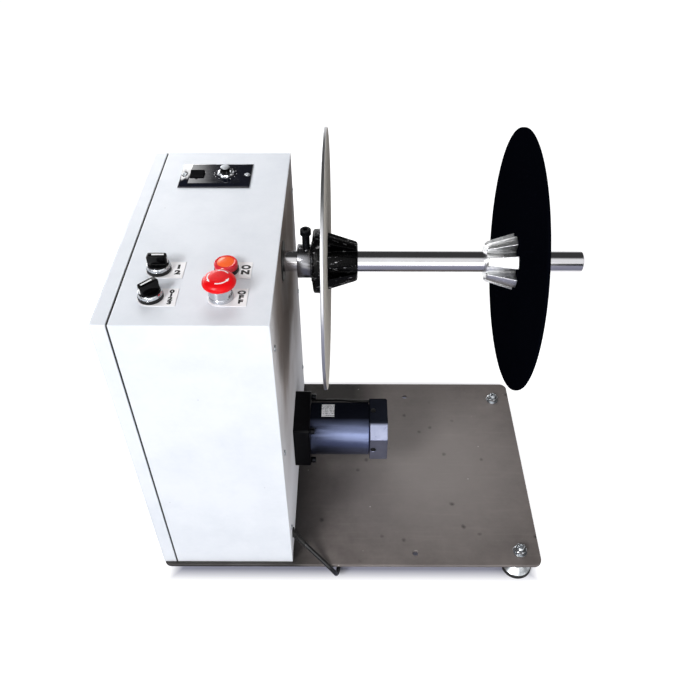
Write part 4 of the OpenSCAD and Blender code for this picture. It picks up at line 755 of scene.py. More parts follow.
# Bright gravity casting: silver with a soft skin of 4 mm and darker pits, so that each rib flashes on its
# own.
bright_casting, tree, shader, place = start_finish("bright_aluminium_casting", Metallic=1.0)
skin = add(tree, "TexNoise", {"Vector": place, "Scale": 1 / 0.004, "Detail": 6.0, "Roughness": 0.6})
surface(shader, (skin, "#b9bbbe", "#fdfdfd"), (skin, 0.4, 0.2), (skin, 0.5, 0.0008))

# Faced steel disc: grey with lathe rings 0.8 mm apart about the spindle, brown stains of 60 mm and a rim
# that handling has polished bright.
disc_steel, tree, shader, place = start_finish("faced_steel_disc", Specular_IOR_Level=0.0)
flat = add(tree, "Mapping", {
    "Vector": place, "Location": (0.0, -Y_AXIS, -Z_AXIS), "Scale": (0.0, 1.0, 1.0)})
radius = add(tree, "VectorMath", {0: flat}, operation="LENGTH")
facing = add(tree, "TexNoise", {"W": radius, "Scale": 1 / 0.0008, "Detail": 2.0}, noise_dimensions="1D")
stain = add(tree, "TexNoise", {"Vector": place, "Scale": 1 / 0.060, "Detail": 6.0})
rim = add(tree, "MapRange", {"Value": radius, "From Min": 0.1710, "From Max": 0.1720})
feed(shader, {"Metallic": rim})
surface(shader, (stain, "#b9b3ab", "#d9d4cd", (rim, "#c4c5c8")), (facing, 0.2, 0.4), (facing, 0.05, 0.0001))

# Stoved black enamel on the outer disc: blue-black and satin, with a long soft peel of 25 mm and a few pale
# scuffs.
disc_enamel, tree, shader, place = start_finish("black_disc_enamel", Specular_IOR_Level=0.0)
peel = add(tree, "TexNoise", {"Vector": place, "Scale": 1 / 0.025, "Detail": 3.0})
scuffs = add(tree, "TexNoise", {"Vector": place, "Scale": 1 / 0.008, "Detail": 8.0, "Roughness": 0.75})
scuffed = add(tree, "MapRange", {"Value": scuffs, "From Min": 0.62, "From Max": 0.8})
surface(shader, (scuffed, "#04050a", "#1c1d26"), (peel, 0.42, 0.6), (peel, 0.06, 0.0006))

BORE = 18.05
DISC_PROFILE = [(BORE, 2), (BORE, 0), (BORE + 2, 0), (170, 0), (172.5, 0), (172.5, 4), (170, 4),
                (BORE + 2, 4), (BORE, 4), (BORE, 2)]
CLAMP_HEAD = [(0, 16.1), (3.6, 16.1), (4.3, 17.1), (4.3, 43.0), (6.6, 43.0), (7.25, 43.6), (7.25, 44.2),
              (7.25, 49.2), (7.25, 50.0), (6.3, 51.0)]
reels = [("inner", -0.06475, -0.04025, disc_steel, "disc_steel", black_casting, "cast_black"),
         ("outer", 0.24025, 0.21175, disc_enamel, "disc_black", bright_casting, "cast_aluminium")]
for side, x_clamp, x_disc, disc_finish, disc_slot, cone_finish, cone_slot in reels:
    body = side + "_reel"
    eased_piece(side + "_hub_turned", side + "_hub", 0.8, body, hub_steel, segments=3)
    eased_piece(side + "_backing_cast", side + "_backing", 1.2, body, black_casting,
                segments=3, angle=20)
    disc = lathe(DISC_PROFILE, 0.8, (x_disc, Y_AXIS, Z_AXIS), ALONG, 192)
    place_piece(side + "_disc_faced", smooth_by_angle(disc, 40), body, [disc_finish],
                [side + "_disc"])
    eased_piece(side + "_cone_ribbed", side + "_cone", 1.0, body, cone_finish, segments=3,
                angle=24)
    eased_piece(side + "_joining_screws", side + "_screws", 0.3, body, black_oxide)
    head = socket_screw(millimetres(CLAMP_HEAD), 6 * MM, 4 * MM, 72, 0.35 * MM, (44.0 * MM, 49.5 * MM))
    screw = joined([head, thread((0, 0, 21 * MM), UP, 22 * MM, 5 * MM, 1.25 * MM, 0.72 * MM)])
    screw.transform(Matrix.Translation((x_clamp, Y_AXIS, Z_AXIS)))
    place_piece(side + "_knurled_screw", smooth_by_angle(screw, 30), side + "_screw",
                [black_oxide], [side + "_clamp_screw"])
    finish_node(bronze, side + "_clamp_tip")

# Control panel: label plates
# Four thin printed plates lie under the controls. Each has a round end about its control and a square end
# that carries short generic marks.
Z_LABEL = 0.547
X_SELECT, X_LAMP = -0.23875, -0.15675
Y_ROW_1, Y_ROW_2 = -0.143, -0.091

# Printed aluminium plate: satin white with a brushed grain of 0.3 mm along its length.
label_print, tree, shader, place = start_finish("satin_label_plate", Metallic=0.1)
lines = add(tree, "Mapping", {"Vector": place, "Scale": (60.0, 3300.0, 60.0)})
brushed = add(tree, "TexNoise", {"Vector": lines, "Scale": 1.0, "Detail": 2.0})
surface(shader, (brushed, "#e4e3e6", "#f1f0f2"), (brushed, 0.32, 0.5))

# Screen ink: matt black, thin enough in places of 0.5 mm to look dark grey.
dark_ink, tree, shader, place = start_finish("black_screen_ink", Roughness=0.6)
mottle = add(tree, "TexNoise", {"Vector": place, "Scale": 1 / 0.0005})
surface(shader, (mottle, "#050506", "#1d1d20"))

# White filling paint in engraved lines: matt, with a grain of 0.4 mm.
white_fill, tree, shader, place = start_finish("white_filling_paint", Roughness=0.5)
mottle = add(tree, "TexNoise", {"Vector": place, "Scale": 1 / 0.0004})
surface(shader, (mottle, "#dedfe2", "#f6f7f8"))

eased_piece("label_plates_printed", "label_plates", 0.25, "machine", label_print)


def lettering(words, height, middle, thickness):
    """Raised letters of one size, their middle at a point, facing up."""
    words_curve = bpy.data.curves.new("words", "FONT")
    words_curve.body = words
    words_curve.size = height
    words_curve.align_x = "CENTER"
    words_curve.align_y = "CENTER"
    words_curve.extrude = thickness / 2
    words_curve.offset = 0.06 * height
    words_object = bpy.data.objects.new("words", words_curve)
    bpy.context.scene.collection.objects.link(words_object)
    view = words_object.evaluated_get(bpy.context.evaluated_depsgraph_get())
    letters = bpy.data.meshes.new_from_object(view)
    bpy.data.objects.remove(words_object)
    letters.transform(Matrix.Translation(middle) @ Matrix.Diagonal((1.3, 1.0, 1.0, 1.0)))
    return letters


label_words = [(X_SELECT, Y_ROW_2, "12", 10.5, 11.0), (X_SELECT, Y_ROW_1, "0123", 8.0, 6.8),
               (X_LAMP, Y_ROW_2, "ON", 10.5, 10.0), (X_LAMP, Y_ROW_1, "OFF", 9.0, 8.2)]
marks = []
for x, y, words, height, step in label_words:
    for k, letter in enumerate(words):
        y_mark = y + step * MM * ((len(words) - 1) / 2 - k)
        marks.append(lettering(letter, height * MM, (x + 23 * MM, y_mark, Z_LABEL + 0.02 * MM), 0.2 * MM))
place_piece("label_marks", joined(marks), "machine", [dark_ink])

# Selector switches
# Two rotary selectors: a chromed fluted ring over a black gasket, and a black handle whose ridge has a
# white line along its top and down the end that points.
BEZEL_STEPS = 96


def fluted(mesh, middle, count, depth, low, high, least):
    """Presses flutes into a turned wall between two heights, outside a least radius."""
    for vertex in mesh.vertices:
        x, y = vertex.co.x - middle[0], vertex.co.y - middle[1]
        radius = math.hypot(x, y)
        if radius < least or not low <= vertex.co.z <= high:
            continue
        cut = depth * (0.5 + 0.5 * math.cos(count * math.atan2(y, x)))
        vertex.co.x = middle[0] + x * (radius - cut) / radius
        vertex.co.y = middle[1] + y * (radius - cut) / radius
    return mesh


def eased_box(low, high, ease):
    """A block with rounded edges between two corners."""
    work = bmesh.new()
    bmesh.ops.create_cube(work, size=1.0)
    bmesh.ops.scale(work, vec=Vector(high) - Vector(low), verts=work.verts)
    bmesh.ops.translate(work, vec=(Vector(high) + Vector(low)) / 2, verts=work.verts)
    bmesh.ops.bevel(work, geom=work.edges[:], offset=ease, segments=3, profile=0.5, affect="EDGES")
    mesh = bpy.data.meshes.new("block")
    work.to_mesh(mesh)
    work.free()
    return mesh


def marked(mesh, number):
    """The same mesh with one material number on every face."""
    for face in mesh.polygons:
        face.material_index = number
    return mesh


# Bright chrome plate: near mirror, with a faint blue tint and polishing swirls of 0.5 mm.
chrome, tree, shader, place = start_finish("bright_chrome_plate", Metallic=1.0)
swirl = add(tree, "TexNoise", {"Vector": place, "Scale": 1 / 0.0005, "Detail": 3.0})
surface(shader, (swirl, "#b2b5bb", "#dcdfe4"), (swirl, 0.06, 0.16))

# Gloss black handle moulding: deep black, near mirror on its flats, with a flow ripple of 3 mm.
gloss_black, tree, shader, place = start_finish("gloss_black_moulding", Specular_IOR_Level=0.15)
ripple = add(tree, "TexNoise", {"Vector": place, "Scale": 1 / 0.003, "Detail": 3.0})
surface(shader, (ripple, "#010102", "#08080a"), (ripple, 0.06, 0.16), (ripple, 0.03, 0.0002))


def contact_block(x, y):
    """The switch block that hangs under a control."""
    low = (x - 13 * MM, y - 13 * MM, Z_LABEL - 55 * MM)
    high = (x + 13 * MM, y + 13 * MM, Z_LABEL - 27 * MM)
    return eased_box(low, high, 1.2 * MM)


def panel_barrel(x, y, top):
    """The barrel through the panel and the contact block under it."""
    barrel = lathe([(0, -27), (11, -27), (11, top), (0, top)], 0.3, (x, y, Z_LABEL))
    return joined([barrel, contact_block(x, y)])


bezel_profile = [(12, 7), (12, 4.8), (14.5, 4.8), (14.5, 7.6), (13.3, 9.5), (12, 9.5), (12, 7)]
gasket_profile = [(11, 1.5), (11, 0), (15, 0), (15, 4.8), (11, 4.8), (11, 1.5)]
bezels = []
for y in (Y_ROW_1, Y_ROW_2):
    seat = (X_SELECT, y, Z_LABEL)
    ring = lathe(bezel_profile, 0.5, seat, UP, BEZEL_STEPS)
    ring = fluted(ring, seat, 24, 0.35 * MM, Z_LABEL + 5.1 * MM, Z_LABEL + 7.7 * MM, 14 * MM)
    gasket = lathe(gasket_profile, 0.8, seat)
    bezels += [ring, marked(gasket, 1), marked(panel_barrel(X_SELECT, y, 4.4), 1)]
place_piece("selector_bezels_chromed", smooth_by_angle(joined(bezels)), "machine",
            [chrome, black_moulding], ["selector_bezels"])


def selector_line(x, y, turn):
    """The white line along the ridge's top and down its pointing end."""
    top = eased_box((-5.5 * MM, -1.1 * MM, 22.6 * MM), (9.2 * MM, 1.1 * MM, 22.95 * MM), 0.1 * MM)
    end = eased_box((12.1 * MM, -1.1 * MM, 11.5 * MM), (12.55 * MM, 1.1 * MM, 19.0 * MM), 0.1 * MM)
    line = joined([top, end])
    line.transform(Matrix.Translation((x, y, Z_LABEL)) @ Matrix.Rotation(turn, 4, "Z"))
    return line


for body, y, turn in (("rear_selector", Y_ROW_2, 0.0), ("front_selector", Y_ROW_1, math.radians(225))):
    eased_piece(body + "_handle", body, 0.9, body, gloss_black, segments=3)
    place_piece(body + "_line", selector_line(X_SELECT, y, turn), body, [white_fill])

# Pilot lamp
# A moulded red lens with a raised rim and a domed orange middle snaps onto a black base.
lens_profile = [(0, 0), (14.25, 0), (14.25, 5.6), (13.0, 7.6), (11.4, 7.6), (10.7, 7.0), (6.4, 7.7), (0, 8)]

# Red polycarbonate lens: lets light in a little, orange in its domed middle where the bulb sits, deep red
# at the rim, with moulded rings 1.6 mm apart.
lens_red, tree, shader, place = start_finish("red_lens", Roughness=0.18, Subsurface_Weight=0.25)
shader.inputs["Subsurface Radius"].default_value = (0.006, 0.002, 0.001)
flat = add(tree, "Mapping", {
    "Vector": place, "Location": (-X_LAMP, -Y_ROW_2, 0.0), "Scale": (1.0, 1.0, 0.0)})
radius = add(tree, "VectorMath", {0: flat}, operation="LENGTH")
outward = add(tree, "MapRange", {"Value": radius, "From Min": 0.0092, "From Max": 0.0116})
rings = add(tree, "TexNoise", {"W": radius, "Scale": 1 / 0.0016}, noise_dimensions="1D")
surface(shader, (outward, "#ff6a2a", "#d8172c"), relief=(rings, 0.1, 0.0003))
lens = lathe(lens_profile, 0.6, (X_LAMP, Y_ROW_2, Z_LABEL + 5 * MM), UP, BEZEL_STEPS)
place_piece("lamp_lens_moulded", smooth_by_angle(lens, 40), "machine", [lens_red],
            ["lamp_lens"])
base_profile = [(0, 0), (15, 0), (15, 3.6), (14.1, 5), (0, 5)]
lamp_base = lathe(base_profile, 0.5, (X_LAMP, Y_ROW_2, Z_LABEL), UP, BEZEL_STEPS)
lamp_base = joined([lamp_base, panel_barrel(X_LAMP, Y_ROW_2, 3.0)])
place_piece("lamp_base_moulded", smooth_by_angle(lamp_base), "machine", [black_moulding],
            ["lamp_base"])

# Stop button
# A red mushroom head on a plunger, over a chromed collar with a fluted wall. Three white arcs with arrow
# tips on the head show that it turns to release.
collar_profile = [(6.1, 8), (6.1, 3.5), (14.5, 3.5), (14.5, 5), (14, 5.4), (14, 16.2), (13.2, 17),
                  (6.1, 17), (6.1, 8)]
stop_seat = (X_LAMP, Y_ROW_1, Z_LABEL)
collar = lathe(collar_profile, 0.4, stop_seat, UP, BEZEL_STEPS)
collar = fluted(collar, stop_seat, 16, 0.3 * MM, Z_LABEL + 6 * MM, Z_LABEL + 15.5 * MM, 13.5 * MM)
collar_gasket = lathe([(6.1, 1.5), (6.1, 0), (14.5, 0), (14.5, 3.5), (6.1, 3.5), (6.1, 1.5)], 0.5,
                      stop_seat)
tail_profile = [(6.1, -10), (6.1, -27), (11, -27), (11, 0), (6.1, 0), (6.1, -10)]
tail = lathe(tail_profile, 0.3, stop_seat)
stop_block = contact_block(X_LAMP, Y_ROW_1)
stop_parts = [collar, collar_gasket, marked(tail, 1), marked(stop_block, 1)]
place_piece("stop_collar_chromed", smooth_by_angle(joined(stop_parts)), "machine",
            [chrome, black_moulding], ["stop_collar"])

# Red nylon moulding: saturated and slightly waxy, with a flow ripple of 4 mm under a soft gloss.
stop_red, tree, shader, place = start_finish("red_nylon_moulding", Specular_IOR_Level=0.22)
ripple = add(tree, "TexNoise", {"Vector": place, "Scale": 1 / 0.004, "Detail": 4.0})
surface(shader, (ripple, "#d0040c", "#ee0a15"), (ripple, 0.24, 0.38))
HEAD_TOP = [(20, 22.5), (19.4, 25), (17.5, 27.5), (14, 29.5), (9, 30.6), (0, 31)]
head_profile = [(0, 9.3), (4, 9.3), (4, 19), (6, 19), (6, 27), (14.6, 27), (14.6, 19), (17, 19),
                (19, 20)] + HEAD_TOP
head = lathe(head_profile, 1.2, stop_seat, UP, BEZEL_STEPS)
place_piece("stop_mushroom_head", smooth_by_angle(head, 50), "stop_mushroom", [stop_red],
            ["stop_head"])
finish_node(stop_red, "stop_stem")


def head_height(radius):
    """Height of the mushroom's top at a radius, both in millimetres."""
    for (r0, h0), (r1, h1) in zip(HEAD_TOP, HEAD_TOP[1:]):
        if r1 <= radius <= r0:
            return h0 + (h1 - h0) * (radius - r0) / (r1 - r0)
    return HEAD_TOP[-1][1]


ARC_R, ARC_STEPS, TIP_FROM = 12.4, 24, 18
arcs = bmesh.new()
for first, last in ((34, 106), (148, 224), (258, 352)):
    rows = []
    for k in range(ARC_STEPS + 1):
        a = math.radians(first + (last - first) * k / ARC_STEPS)
        tip = max(0.0, (k - TIP_FROM) / (ARC_STEPS - TIP_FROM))
        half = 1.4 * (1 - tip) + 0.1 if k >= TIP_FROM else 0.75
        for rise in (0.12, -0.3):
            for radius in (ARC_R + half, ARC_R - half):
                x, y = X_LAMP + radius * MM * math.cos(a), Y_ROW_1 + radius * MM * math.sin(a)
                rows.append(arcs.verts.new((x, y, Z_LABEL + (head_height(radius) + rise) * MM)))
    for k in range(ARC_STEPS):
        a, b = 4 * k, 4 * k + 4
        for i, j in ((0, 1), (1, 3), (3, 2), (2, 0)):
            arcs.faces.new([rows[a + i], rows[a + j], rows[b + j], rows[b + i]])
    arcs.faces.new([rows[0], rows[1], rows[3], rows[2]])
    arcs.faces.new([rows[-4], rows[-2], rows[-1], rows[-3]])
arc_mesh = closed_mesh(arcs)
place_piece("stop_release_arrows", smooth_by_angle(arc_mesh), "stop_mushroom", [white_fill])
finish_node(turned_aluminium, "ring_nuts")

# Speed controller
# A bevelled gloss black housing set into the top of the cabinet, with a rocker on its left and a speed knob
# on its right: a lobed chrome skirt, a black stem and a pale cap. Dots on the housing mark the knob's
# steps.
KNOB = (-0.18475, 0.1285, Z_TOP + 4.5 * MM)
ROCKER = (-0.22475, 0.126, Z_TOP + 4.5 * MM)

# Polished black acrylic: a mirror gloss over deep black, dulled in patches of 6 mm by fingers.
black_acrylic, tree, shader, place = start_finish("polished_black_acrylic", Specular_IOR_Level=1.0)
fingers = add(tree, "TexNoise", {"Vector": place, "Scale": 1 / 0.006, "Detail": 5.0})
surface(shader, (fingers, "#020307", "#0d1122"), (fingers, 0.04, 0.14))

# Spark-eroded black moulding: deep black and matt, with a grain of 0.5 mm that takes the shine off.
matt_black, tree, shader, place = start_finish("matt_black_moulding", Specular_IOR_Level=0.05)
grain = add(tree, "TexNoise", {"Vector": place, "Scale": 1 / 0.0005, "Detail": 3.0})
surface(shader, (grain, "#020203", "#0c0d10"), (grain, 0.5, 0.7))
eased_piece("controller_housing", "controller_body", 0.5, "machine", black_acrylic,
            segments=3)
eased_piece("controller_rocker_cap", "controller_rocker", 0.5, "rocker", matt_black,
            segments=3)
skirt = lathe([(0, 0.3), (12.5, 0.3), (12.5, 1.2), (11, 3.3), (6.3, 3.3), (6.3, 3.2), (0, 3.2)], 0.4, KNOB,
              UP, BEZEL_STEPS)
skirt = fluted(skirt, KNOB, 8, 1.6 * MM, KNOB[2], KNOB[2] + 4 * MM, 9 * MM)
grip = lathe([(0, -5), (3, -5), (3, 0), (6.5, 0.4), (6.5, 10.4), (0, 10.4)], 0.3, KNOB, UP, BEZEL_STEPS)
grip = fluted(grip, KNOB, 24, 0.5 * MM, KNOB[2] + 0.5 * MM, KNOB[2] + 11 * MM, 6 * MM)
cap = lathe([(0, 10.2), (6.4, 10.2), (6.4, 10.9), (5.8, 11.5), (0, 11.5)], 0.3, KNOB, UP, BEZEL_STEPS)
place_piece("speed_knob_lobed", smooth_by_angle(joined([skirt, marked(grip, 1), marked(cap, 2)])),
            "speed_knob", [chrome, gloss_black, turned_aluminium], ["speed_knob"])
dot = lathe([(0, -0.3), (0.55, -0.3), (0.55, 0.12), (0, 0.12)], 0.08, (0, 0, 0), UP, 16)
DIAL_R = 15.4 * MM
dial_angles = [math.radians(240 - 30 * k) for k in range(11)]
dots = [(KNOB[0] + DIAL_R * math.cos(a), KNOB[1] + DIAL_R * math.sin(a)) for a in dial_angles]
dots += [(KNOB[0] + x * MM, KNOB[1] + y * MM) for x in (-11, -16) for y in (3, -3)]
dot_places = [((x, y, KNOB[2]), UP, 0.0) for x, y in dots]
place_piece("controller_dial_dots", spread(dot, dot_places, white_fill), "machine",
            [white_fill])
pointers = bmesh.new()
for way in (1, -1):
    outline = [(ROCKER[0] + x * MM, ROCKER[1] + way * y * MM) for x, y in ((-3.2, 8.9), (3.2, 8.9), (0, 13.2))]
    low = [pointers.verts.new((x, y, ROCKER[2] - 0.3 * MM)) for x, y in outline]
    high = [pointers.verts.new((x, y, ROCKER[2] + 0.3 * MM)) for x, y in outline]
    pointers.faces.new(low)
    pointers.faces.new(high)
    for k in range(3):
        pointers.faces.new([low[k], low[(k + 1) % 3], high[(k + 1) % 3], high[k]])
pointer_mesh = closed_mesh(pointers)
place_piece("rocker_pointers", pointer_mesh, "machine", [matt_black])

# Mains lead
# A round 7 mm rubber lead leaves the side plate through a tapered boot, drops over the plate's front edge
# and turns back under it, where the spare length lies in a tied coil of two layers with its plug beside it.
LEAD_D = 7 * MM
lead_points = [(-77.7, -176.1, 71.2), (-68.8, -182.2, 65.7), (-59.9, -188.3, 60.2), (-51, -194.4, 54.7),
               (-46.6, -197.4, 52), (-42.3, -200.2, 48.8), (-38.2, -202.2, 44.8), (-34.7, -203.3, 40),
               (-31.9, -203.5, 34.7), (-29.8, -202.7, 29.1), (-28.7, -201.1, 23.4), (-27.9, -198.6, 17.9),
               (-27.1, -195.1, 13.1), (-26.3, -190.7, 9.1), (-25.4, -185.5, 6.1), (-24.6, -179.9, 4.2),
               (-23.8, -173.9, 3.6), (-22.8, -161, 3.6), (-22.2, -147, 3.6), (-22, -131, 3.6),
               (-22, -114, 3.6), (-22, -97, 3.6)]
COIL_TURNS, COIL_RINGS, COIL_R, COIL_PITCH, COIL_Z = 3, 24, 50, 7.8, 3.6
COIL_MIDDLE = (-72, -90)


def coil_point(u):
    """A point of the stored coil: in by one layer, up, and out by the next."""
    r = COIL_R - COIL_PITCH * (COIL_TURNS - abs(u - COIL_TURNS))
    rise = min(1.0, max(0.0, (u - COIL_TURNS + 0.25) / 0.5))
    z = COIL_Z + COIL_PITCH * rise * rise * (3 - 2 * rise)
    return (COIL_MIDDLE[0] + r * math.cos(2 * math.pi * u), COIL_MIDDLE[1] + r * math.sin(2 * math.pi * u),
            z)


coil_steps = 2 * COIL_TURNS * COIL_RINGS
lead_end = (COIL_MIDDLE[0] + COIL_R, COIL_MIDDLE[1] + 14, COIL_Z + COIL_PITCH)
route = lead_points + [coil_point(i / COIL_RINGS) for i in range(coil_steps + 1)] + [lead_end]
route = [Vector(p) * MM for p in route]


# Rubber sheath: near black with a satin sheen, and dull in patches of 9 mm where it has rubbed on the
# floor.
sheath, tree, shader, place = start_finish("rubber_cable_sheath")
scuffs = add(tree, "TexNoise", {"Vector": place, "Scale": 1 / 0.009, "Detail": 5.0})
scuffed = add(tree, "MapRange", {"Value": scuffs, "From Min": 0.35, "From Max": 0.72})
grain = add(tree, "TexNoise", {"Vector": place, "Scale": 1 / 0.0008})
surface(shader, (scuffed, "#0a0a0b", "#1c1c1d"), (scuffed, 0.26, 0.5), (grain, 0.08, 0.0001))

lead_path = smooth_route(route, 3)
lead = place_piece("mains_lead", tube(lead_path, LEAD_D / 2), "machine", [sheath],
                   ["power_cord", "cord_coil"])

# Strain relief, tie and plug
# The moulded boot tapers along the lead in short ribs. A woven tape tie holds the stored coil, and a round
# two-pin plug with a ribbed tail lies beside it.
BOOT = Vector((-96.75, -163, 83)) * MM
boot_axis = (route[0] - BOOT).normalized()
boot_reach = (route[0] - BOOT).length / MM
boot_profile = [(0, 1.5), (5.5, 1.5)]
for k in range(6):
    start = 5 + (boot_reach - 6) * k / 6
    r = 5.5 - 1.4 * k / 5
    boot_profile += [(r, start), (r, start + 1.6), (r - 0.7, start + 1.9), (r - 0.8, start + 2.6)]
boot_profile += [(3.9, boot_reach), (0, boot_reach)]
boot_tail = lathe(boot_profile, 0.25, BOOT, boot_axis, 48)
boot_flange = lathe([(0, -5), (4.4, -5), (4.4, 0), (8, 0), (8, 2), (7, 3), (0, 3)], 0.5, BOOT, ALONG, 48)
place_piece("cord_boot_ribbed", smooth_by_angle(joined([boot_tail, boot_flange])), "machine",
            [rubber], ["cord_boot"])

# Woven tape: charcoal, with a weave of 1 mm across its width.
woven_tape, tree, shader, place = start_finish("woven_tape", Roughness=0.85, Sheen_Weight=0.3)
weave = add(tree, "TexVoronoi", {"Vector": place, "Scale": 1 / 0.001})
surface(shader, (weave, "#3a3b40", "#191a1d"), relief=(weave, 0.3, 0.0003))
tie_inside = [(25.6, 0.06), (54.0, 0.06), (54.2, 7.5), (53.6, 15.4), (26.0, 15.4), (25.4, 7.5)]
tie_outside = [(24.8, 0.0), (54.8, 0.0), (55.0, 7.5), (54.3, 16.1), (25.3, 16.1), (24.6, 7.5)]
tie = bmesh.new()
loops = []
for outline in (tie_inside, tie_outside):
    for y in (-5.0, 5.0):
        loops.append([tie.verts.new(Vector((COIL_MIDDLE[0] - r, COIL_MIDDLE[1] + y, z)) * MM)
                      for r, z in outline])
for k in range(6):
    n = (k + 1) % 6
    for low, high in ((0, 1), (1, 3), (3, 2), (2, 0)):
        tie.faces.new([loops[low][k], loops[low][n], loops[high][n], loops[high][k]])
tie_mesh = closed_mesh(tie)
place_piece("coil_tie", smooth_by_angle(tie_mesh, 60), "machine", [woven_tape])

plug = eased_mesh("power_plug", 0.8 * MM, 3)
pins_from = (lead_end[1] + 60) * MM
for face in plug.polygons:
    face.material_index = 1 if face.center.y > pins_from else 0
place_piece("plug_moulded", plug, "machine", [rubber, chrome], ["power_plug"])

# Floor and light
# A white floor with a painted shadow under the plate, where it is painted grey and does not glow. A large
# soft key lamp stands at the front left, with weaker ones in front, above and at the right. Polished parts see
# a white backdrop with a window in it at the left, a bright wall with a grey floor in front of it, and a dark
# ceiling.
floor_mesh = bpy.data.meshes.new("floor")
floor_mesh.from_pydata([(-6, -6, 0), (6, -6, 0), (6, 6, 0), (-6, 6, 0)], [], [(0, 1, 2, 3)])
floor = bpy.data.objects.new("studio_floor", floor_mesh)
bpy.context.scene.collection.objects.link(floor)
floor_paint, tree, shader, place = start_finish("pale_floor", Roughness=0.9, Specular_IOR_Level=0.1)
seen = add(tree, "LightPath").outputs
straight = add(tree, "Math", {0: seen["Is Camera Ray"], 1: seen["Is Glossy Ray"]}, operation="MAXIMUM")
either = add(tree, "Math", {0: straight, 1: seen["Is Transmission Ray"]}, operation="MAXIMUM")
split = add(tree, "SeparateXYZ", {"Vector": place})
# Painted shadow: under the machine's footprint the floor is grey for the camera and gets no glow.
across = add(tree, "Math", {0: split.outputs["X"]}, operation="ABSOLUTE")
middle_y = add(tree, "Math", {0: split.outputs["Y"], 1: 0.02}, operation="SUBTRACT")
along = add(tree, "Math", {0: middle_y}, operation="ABSOLUTE")
past_x = add(tree, "Math", {0: across, 1: 0.28}, operation="SUBTRACT")
past_y = add(tree, "Math", {0: along, 1: 0.20}, operation="SUBTRACT")
past = add(tree, "Math", {0: past_x, 1: past_y}, operation="MAXIMUM")
clear = add(tree, "MapRange", {"Value": past, "From Max": 0.03})
rear = add(tree, "MapRange", {"Value": split.outputs["Y"], "From Min": -0.2, "From Max": 0.0})
sheet = add(tree, "Math", {0: seen["Is Camera Ray"], 1: rear}, operation="MAXIMUM")
paper = add(tree, "Math", {0: clear, 1: sheet}, operation="MULTIPLY")
unseen = add(tree, "Math", {0: 1.0, 1: either}, operation="SUBTRACT")
pale = add(tree, "Math", {0: paper, 1: unseen}, operation="MAXIMUM")
surface(shader, (pale, "#a3a4b6", "#efefef"))
glow = add(tree, "Math", {0: paper, 1: 0.75}, operation="MULTIPLY")
lift = add(tree, "Math", {0: either, 1: glow}, operation="MULTIPLY")
shader.inputs["Emission Color"].default_value = WHITE
feed(shader, {"Emission Strength": lift})
floor_mesh.materials.append(floor_paint)

world = bpy.data.worlds.new("studio")
bpy.context.scene.world = world
world.use_nodes = True
tree = world.node_tree
seen = add(tree, "LightPath").outputs
way = add(tree, "TexCoord").outputs["Generated"]
depth = add(tree, "SeparateXYZ", {"Vector": way})
front = add(tree, "MapRange", {
    "Value": depth.outputs["Y"], "From Min": -0.45, "From Max": -0.15, "To Min": 1.2, "To Max": 0.06})
above = add(tree, "MapRange", {"Value": depth.outputs["Z"], "From Min": 0.18, "From Max": 0.28})
wall = add(tree, "Math", {0: front, 1: above}, operation="MULTIPLY")
low = add(tree, "MapRange", {
    "Value": depth.outputs["Z"], "From Min": 0.12, "From Max": 0.3, "To Min": 1.0, "To Max": 0.0})
behind = add(tree, "MapRange", {"Value": depth.outputs["Y"], "From Min": -0.45, "From Max": -0.15})
backdrop = add(tree, "Math", {0: low, 1: behind}, operation="MULTIPLY")
room = add(tree, "Math", {0: wall, 1: backdrop}, operation="MAXIMUM")
left = add(tree, "MapRange", {
    "Value": depth.outputs["X"], "From Min": -0.215, "From Max": -0.18, "To Min": 5.5, "To Max": 0.0})
under = add(tree, "MapRange", {
    "Value": depth.outputs["Z"], "From Min": 0.44, "From Max": 0.62, "To Min": 1.0, "To Max": 0.0})
back = add(tree, "MapRange", {"Value": depth.outputs["Y"], "From Min": 0.5, "From Max": 0.6})
pane = add(tree, "Math", {0: left, 1: under}, operation="MULTIPLY")
window = add(tree, "Math", {0: pane, 1: back}, operation="MULTIPLY")
bright = add(tree, "Math", {0: room, 1: window}, operation="MAXIMUM")
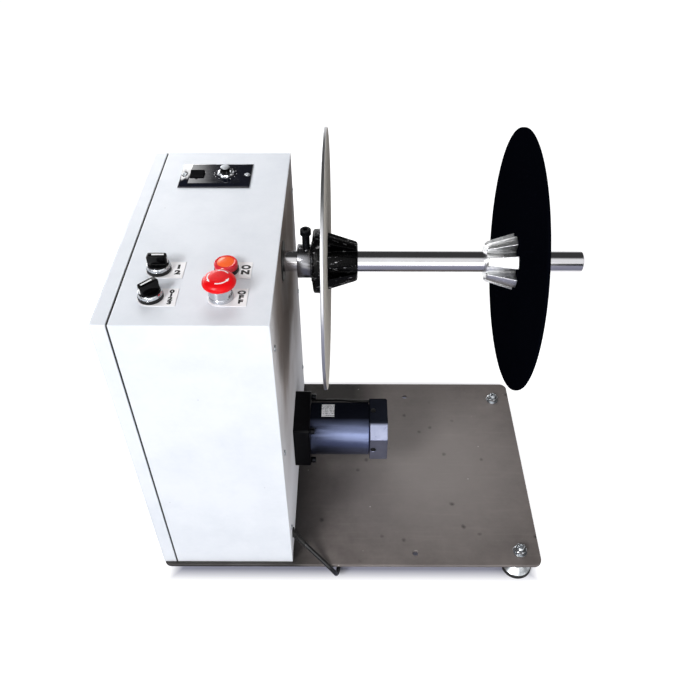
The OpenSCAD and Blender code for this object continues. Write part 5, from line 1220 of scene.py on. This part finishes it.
ambient = add(tree, "Background", {"Color": WHITE, "Strength": 0.24})
studio = add(tree, "Background", {"Color": WHITE, "Strength": bright})
white = add(tree, "Background", {"Color": WHITE, "Strength": 1.0})
mirrored = add(tree, "Math", {
    0: seen["Is Glossy Ray"], 1: seen["Is Transmission Ray"]}, operation="MAXIMUM")
inner = add(tree, "MixShader", {0: mirrored, 1: ambient, 2: studio})
outer = add(tree, "MixShader", {0: seen["Is Camera Ray"], 1: inner, 2: white})
feed(tree.nodes["World Output"], {"Surface": outer})


def soft_lamp(name, place, aim, size, power):
    """A square lamp at a place that points at a spot."""
    light = bpy.data.lights.new(name, "AREA")
    light.shape = "SQUARE"
    light.size = size
    light.energy = power
    lamp = bpy.data.objects.new(name, light)
    lamp.location = place
    lamp.rotation_euler = (Vector(aim) - Vector(place)).to_track_quat("-Z", "Y").to_euler()
    bpy.context.scene.collection.objects.link(lamp)


soft_lamp("key_lamp", (-1.3, -1.9, 2.1), (-0.1, 0, 0.35), 0.8, 54)
soft_lamp("front_fill", (0.2, -2.4, 0.8), (0, 0, 0.3), 1.6, 17)
soft_lamp("top_lamp", (-0.2, 0.6, 1.2), (-0.2, 0.1, 0.5), 0.6, 3.6)
soft_lamp("side_fill", (2.0, -0.9, 0.6), (-0.1, 0, 0.15), 1.0, 13)
for name in ("top_lamp", "side_fill"):
    bpy.data.objects[name].visible_glossy = False

# Camera
# It stands in front of the machine and looks down at about 44 degrees, as in the photograph.
eye = bpy.data.cameras.new("camera")
eye.sensor_width = 36.0
eye.sensor_fit = "HORIZONTAL"
eye.lens = 735.92 / 700 * 36.0
camera = bpy.data.objects.new("camera", eye)
camera.location = (-6.38 * MM, -804.57 * MM, 1095.34 * MM)
look = Vector((-0.0003, 0.7226, -0.6912)).to_track_quat("-Z", "Y").to_matrix().to_4x4()
camera.rotation_euler = (look @ Matrix.Rotation(math.radians(0.14), 4, "Z")).to_euler()
bpy.context.scene.collection.objects.link(camera)
bpy.context.scene.camera = camera
bpy.context.scene.view_settings.view_transform = "Standard"
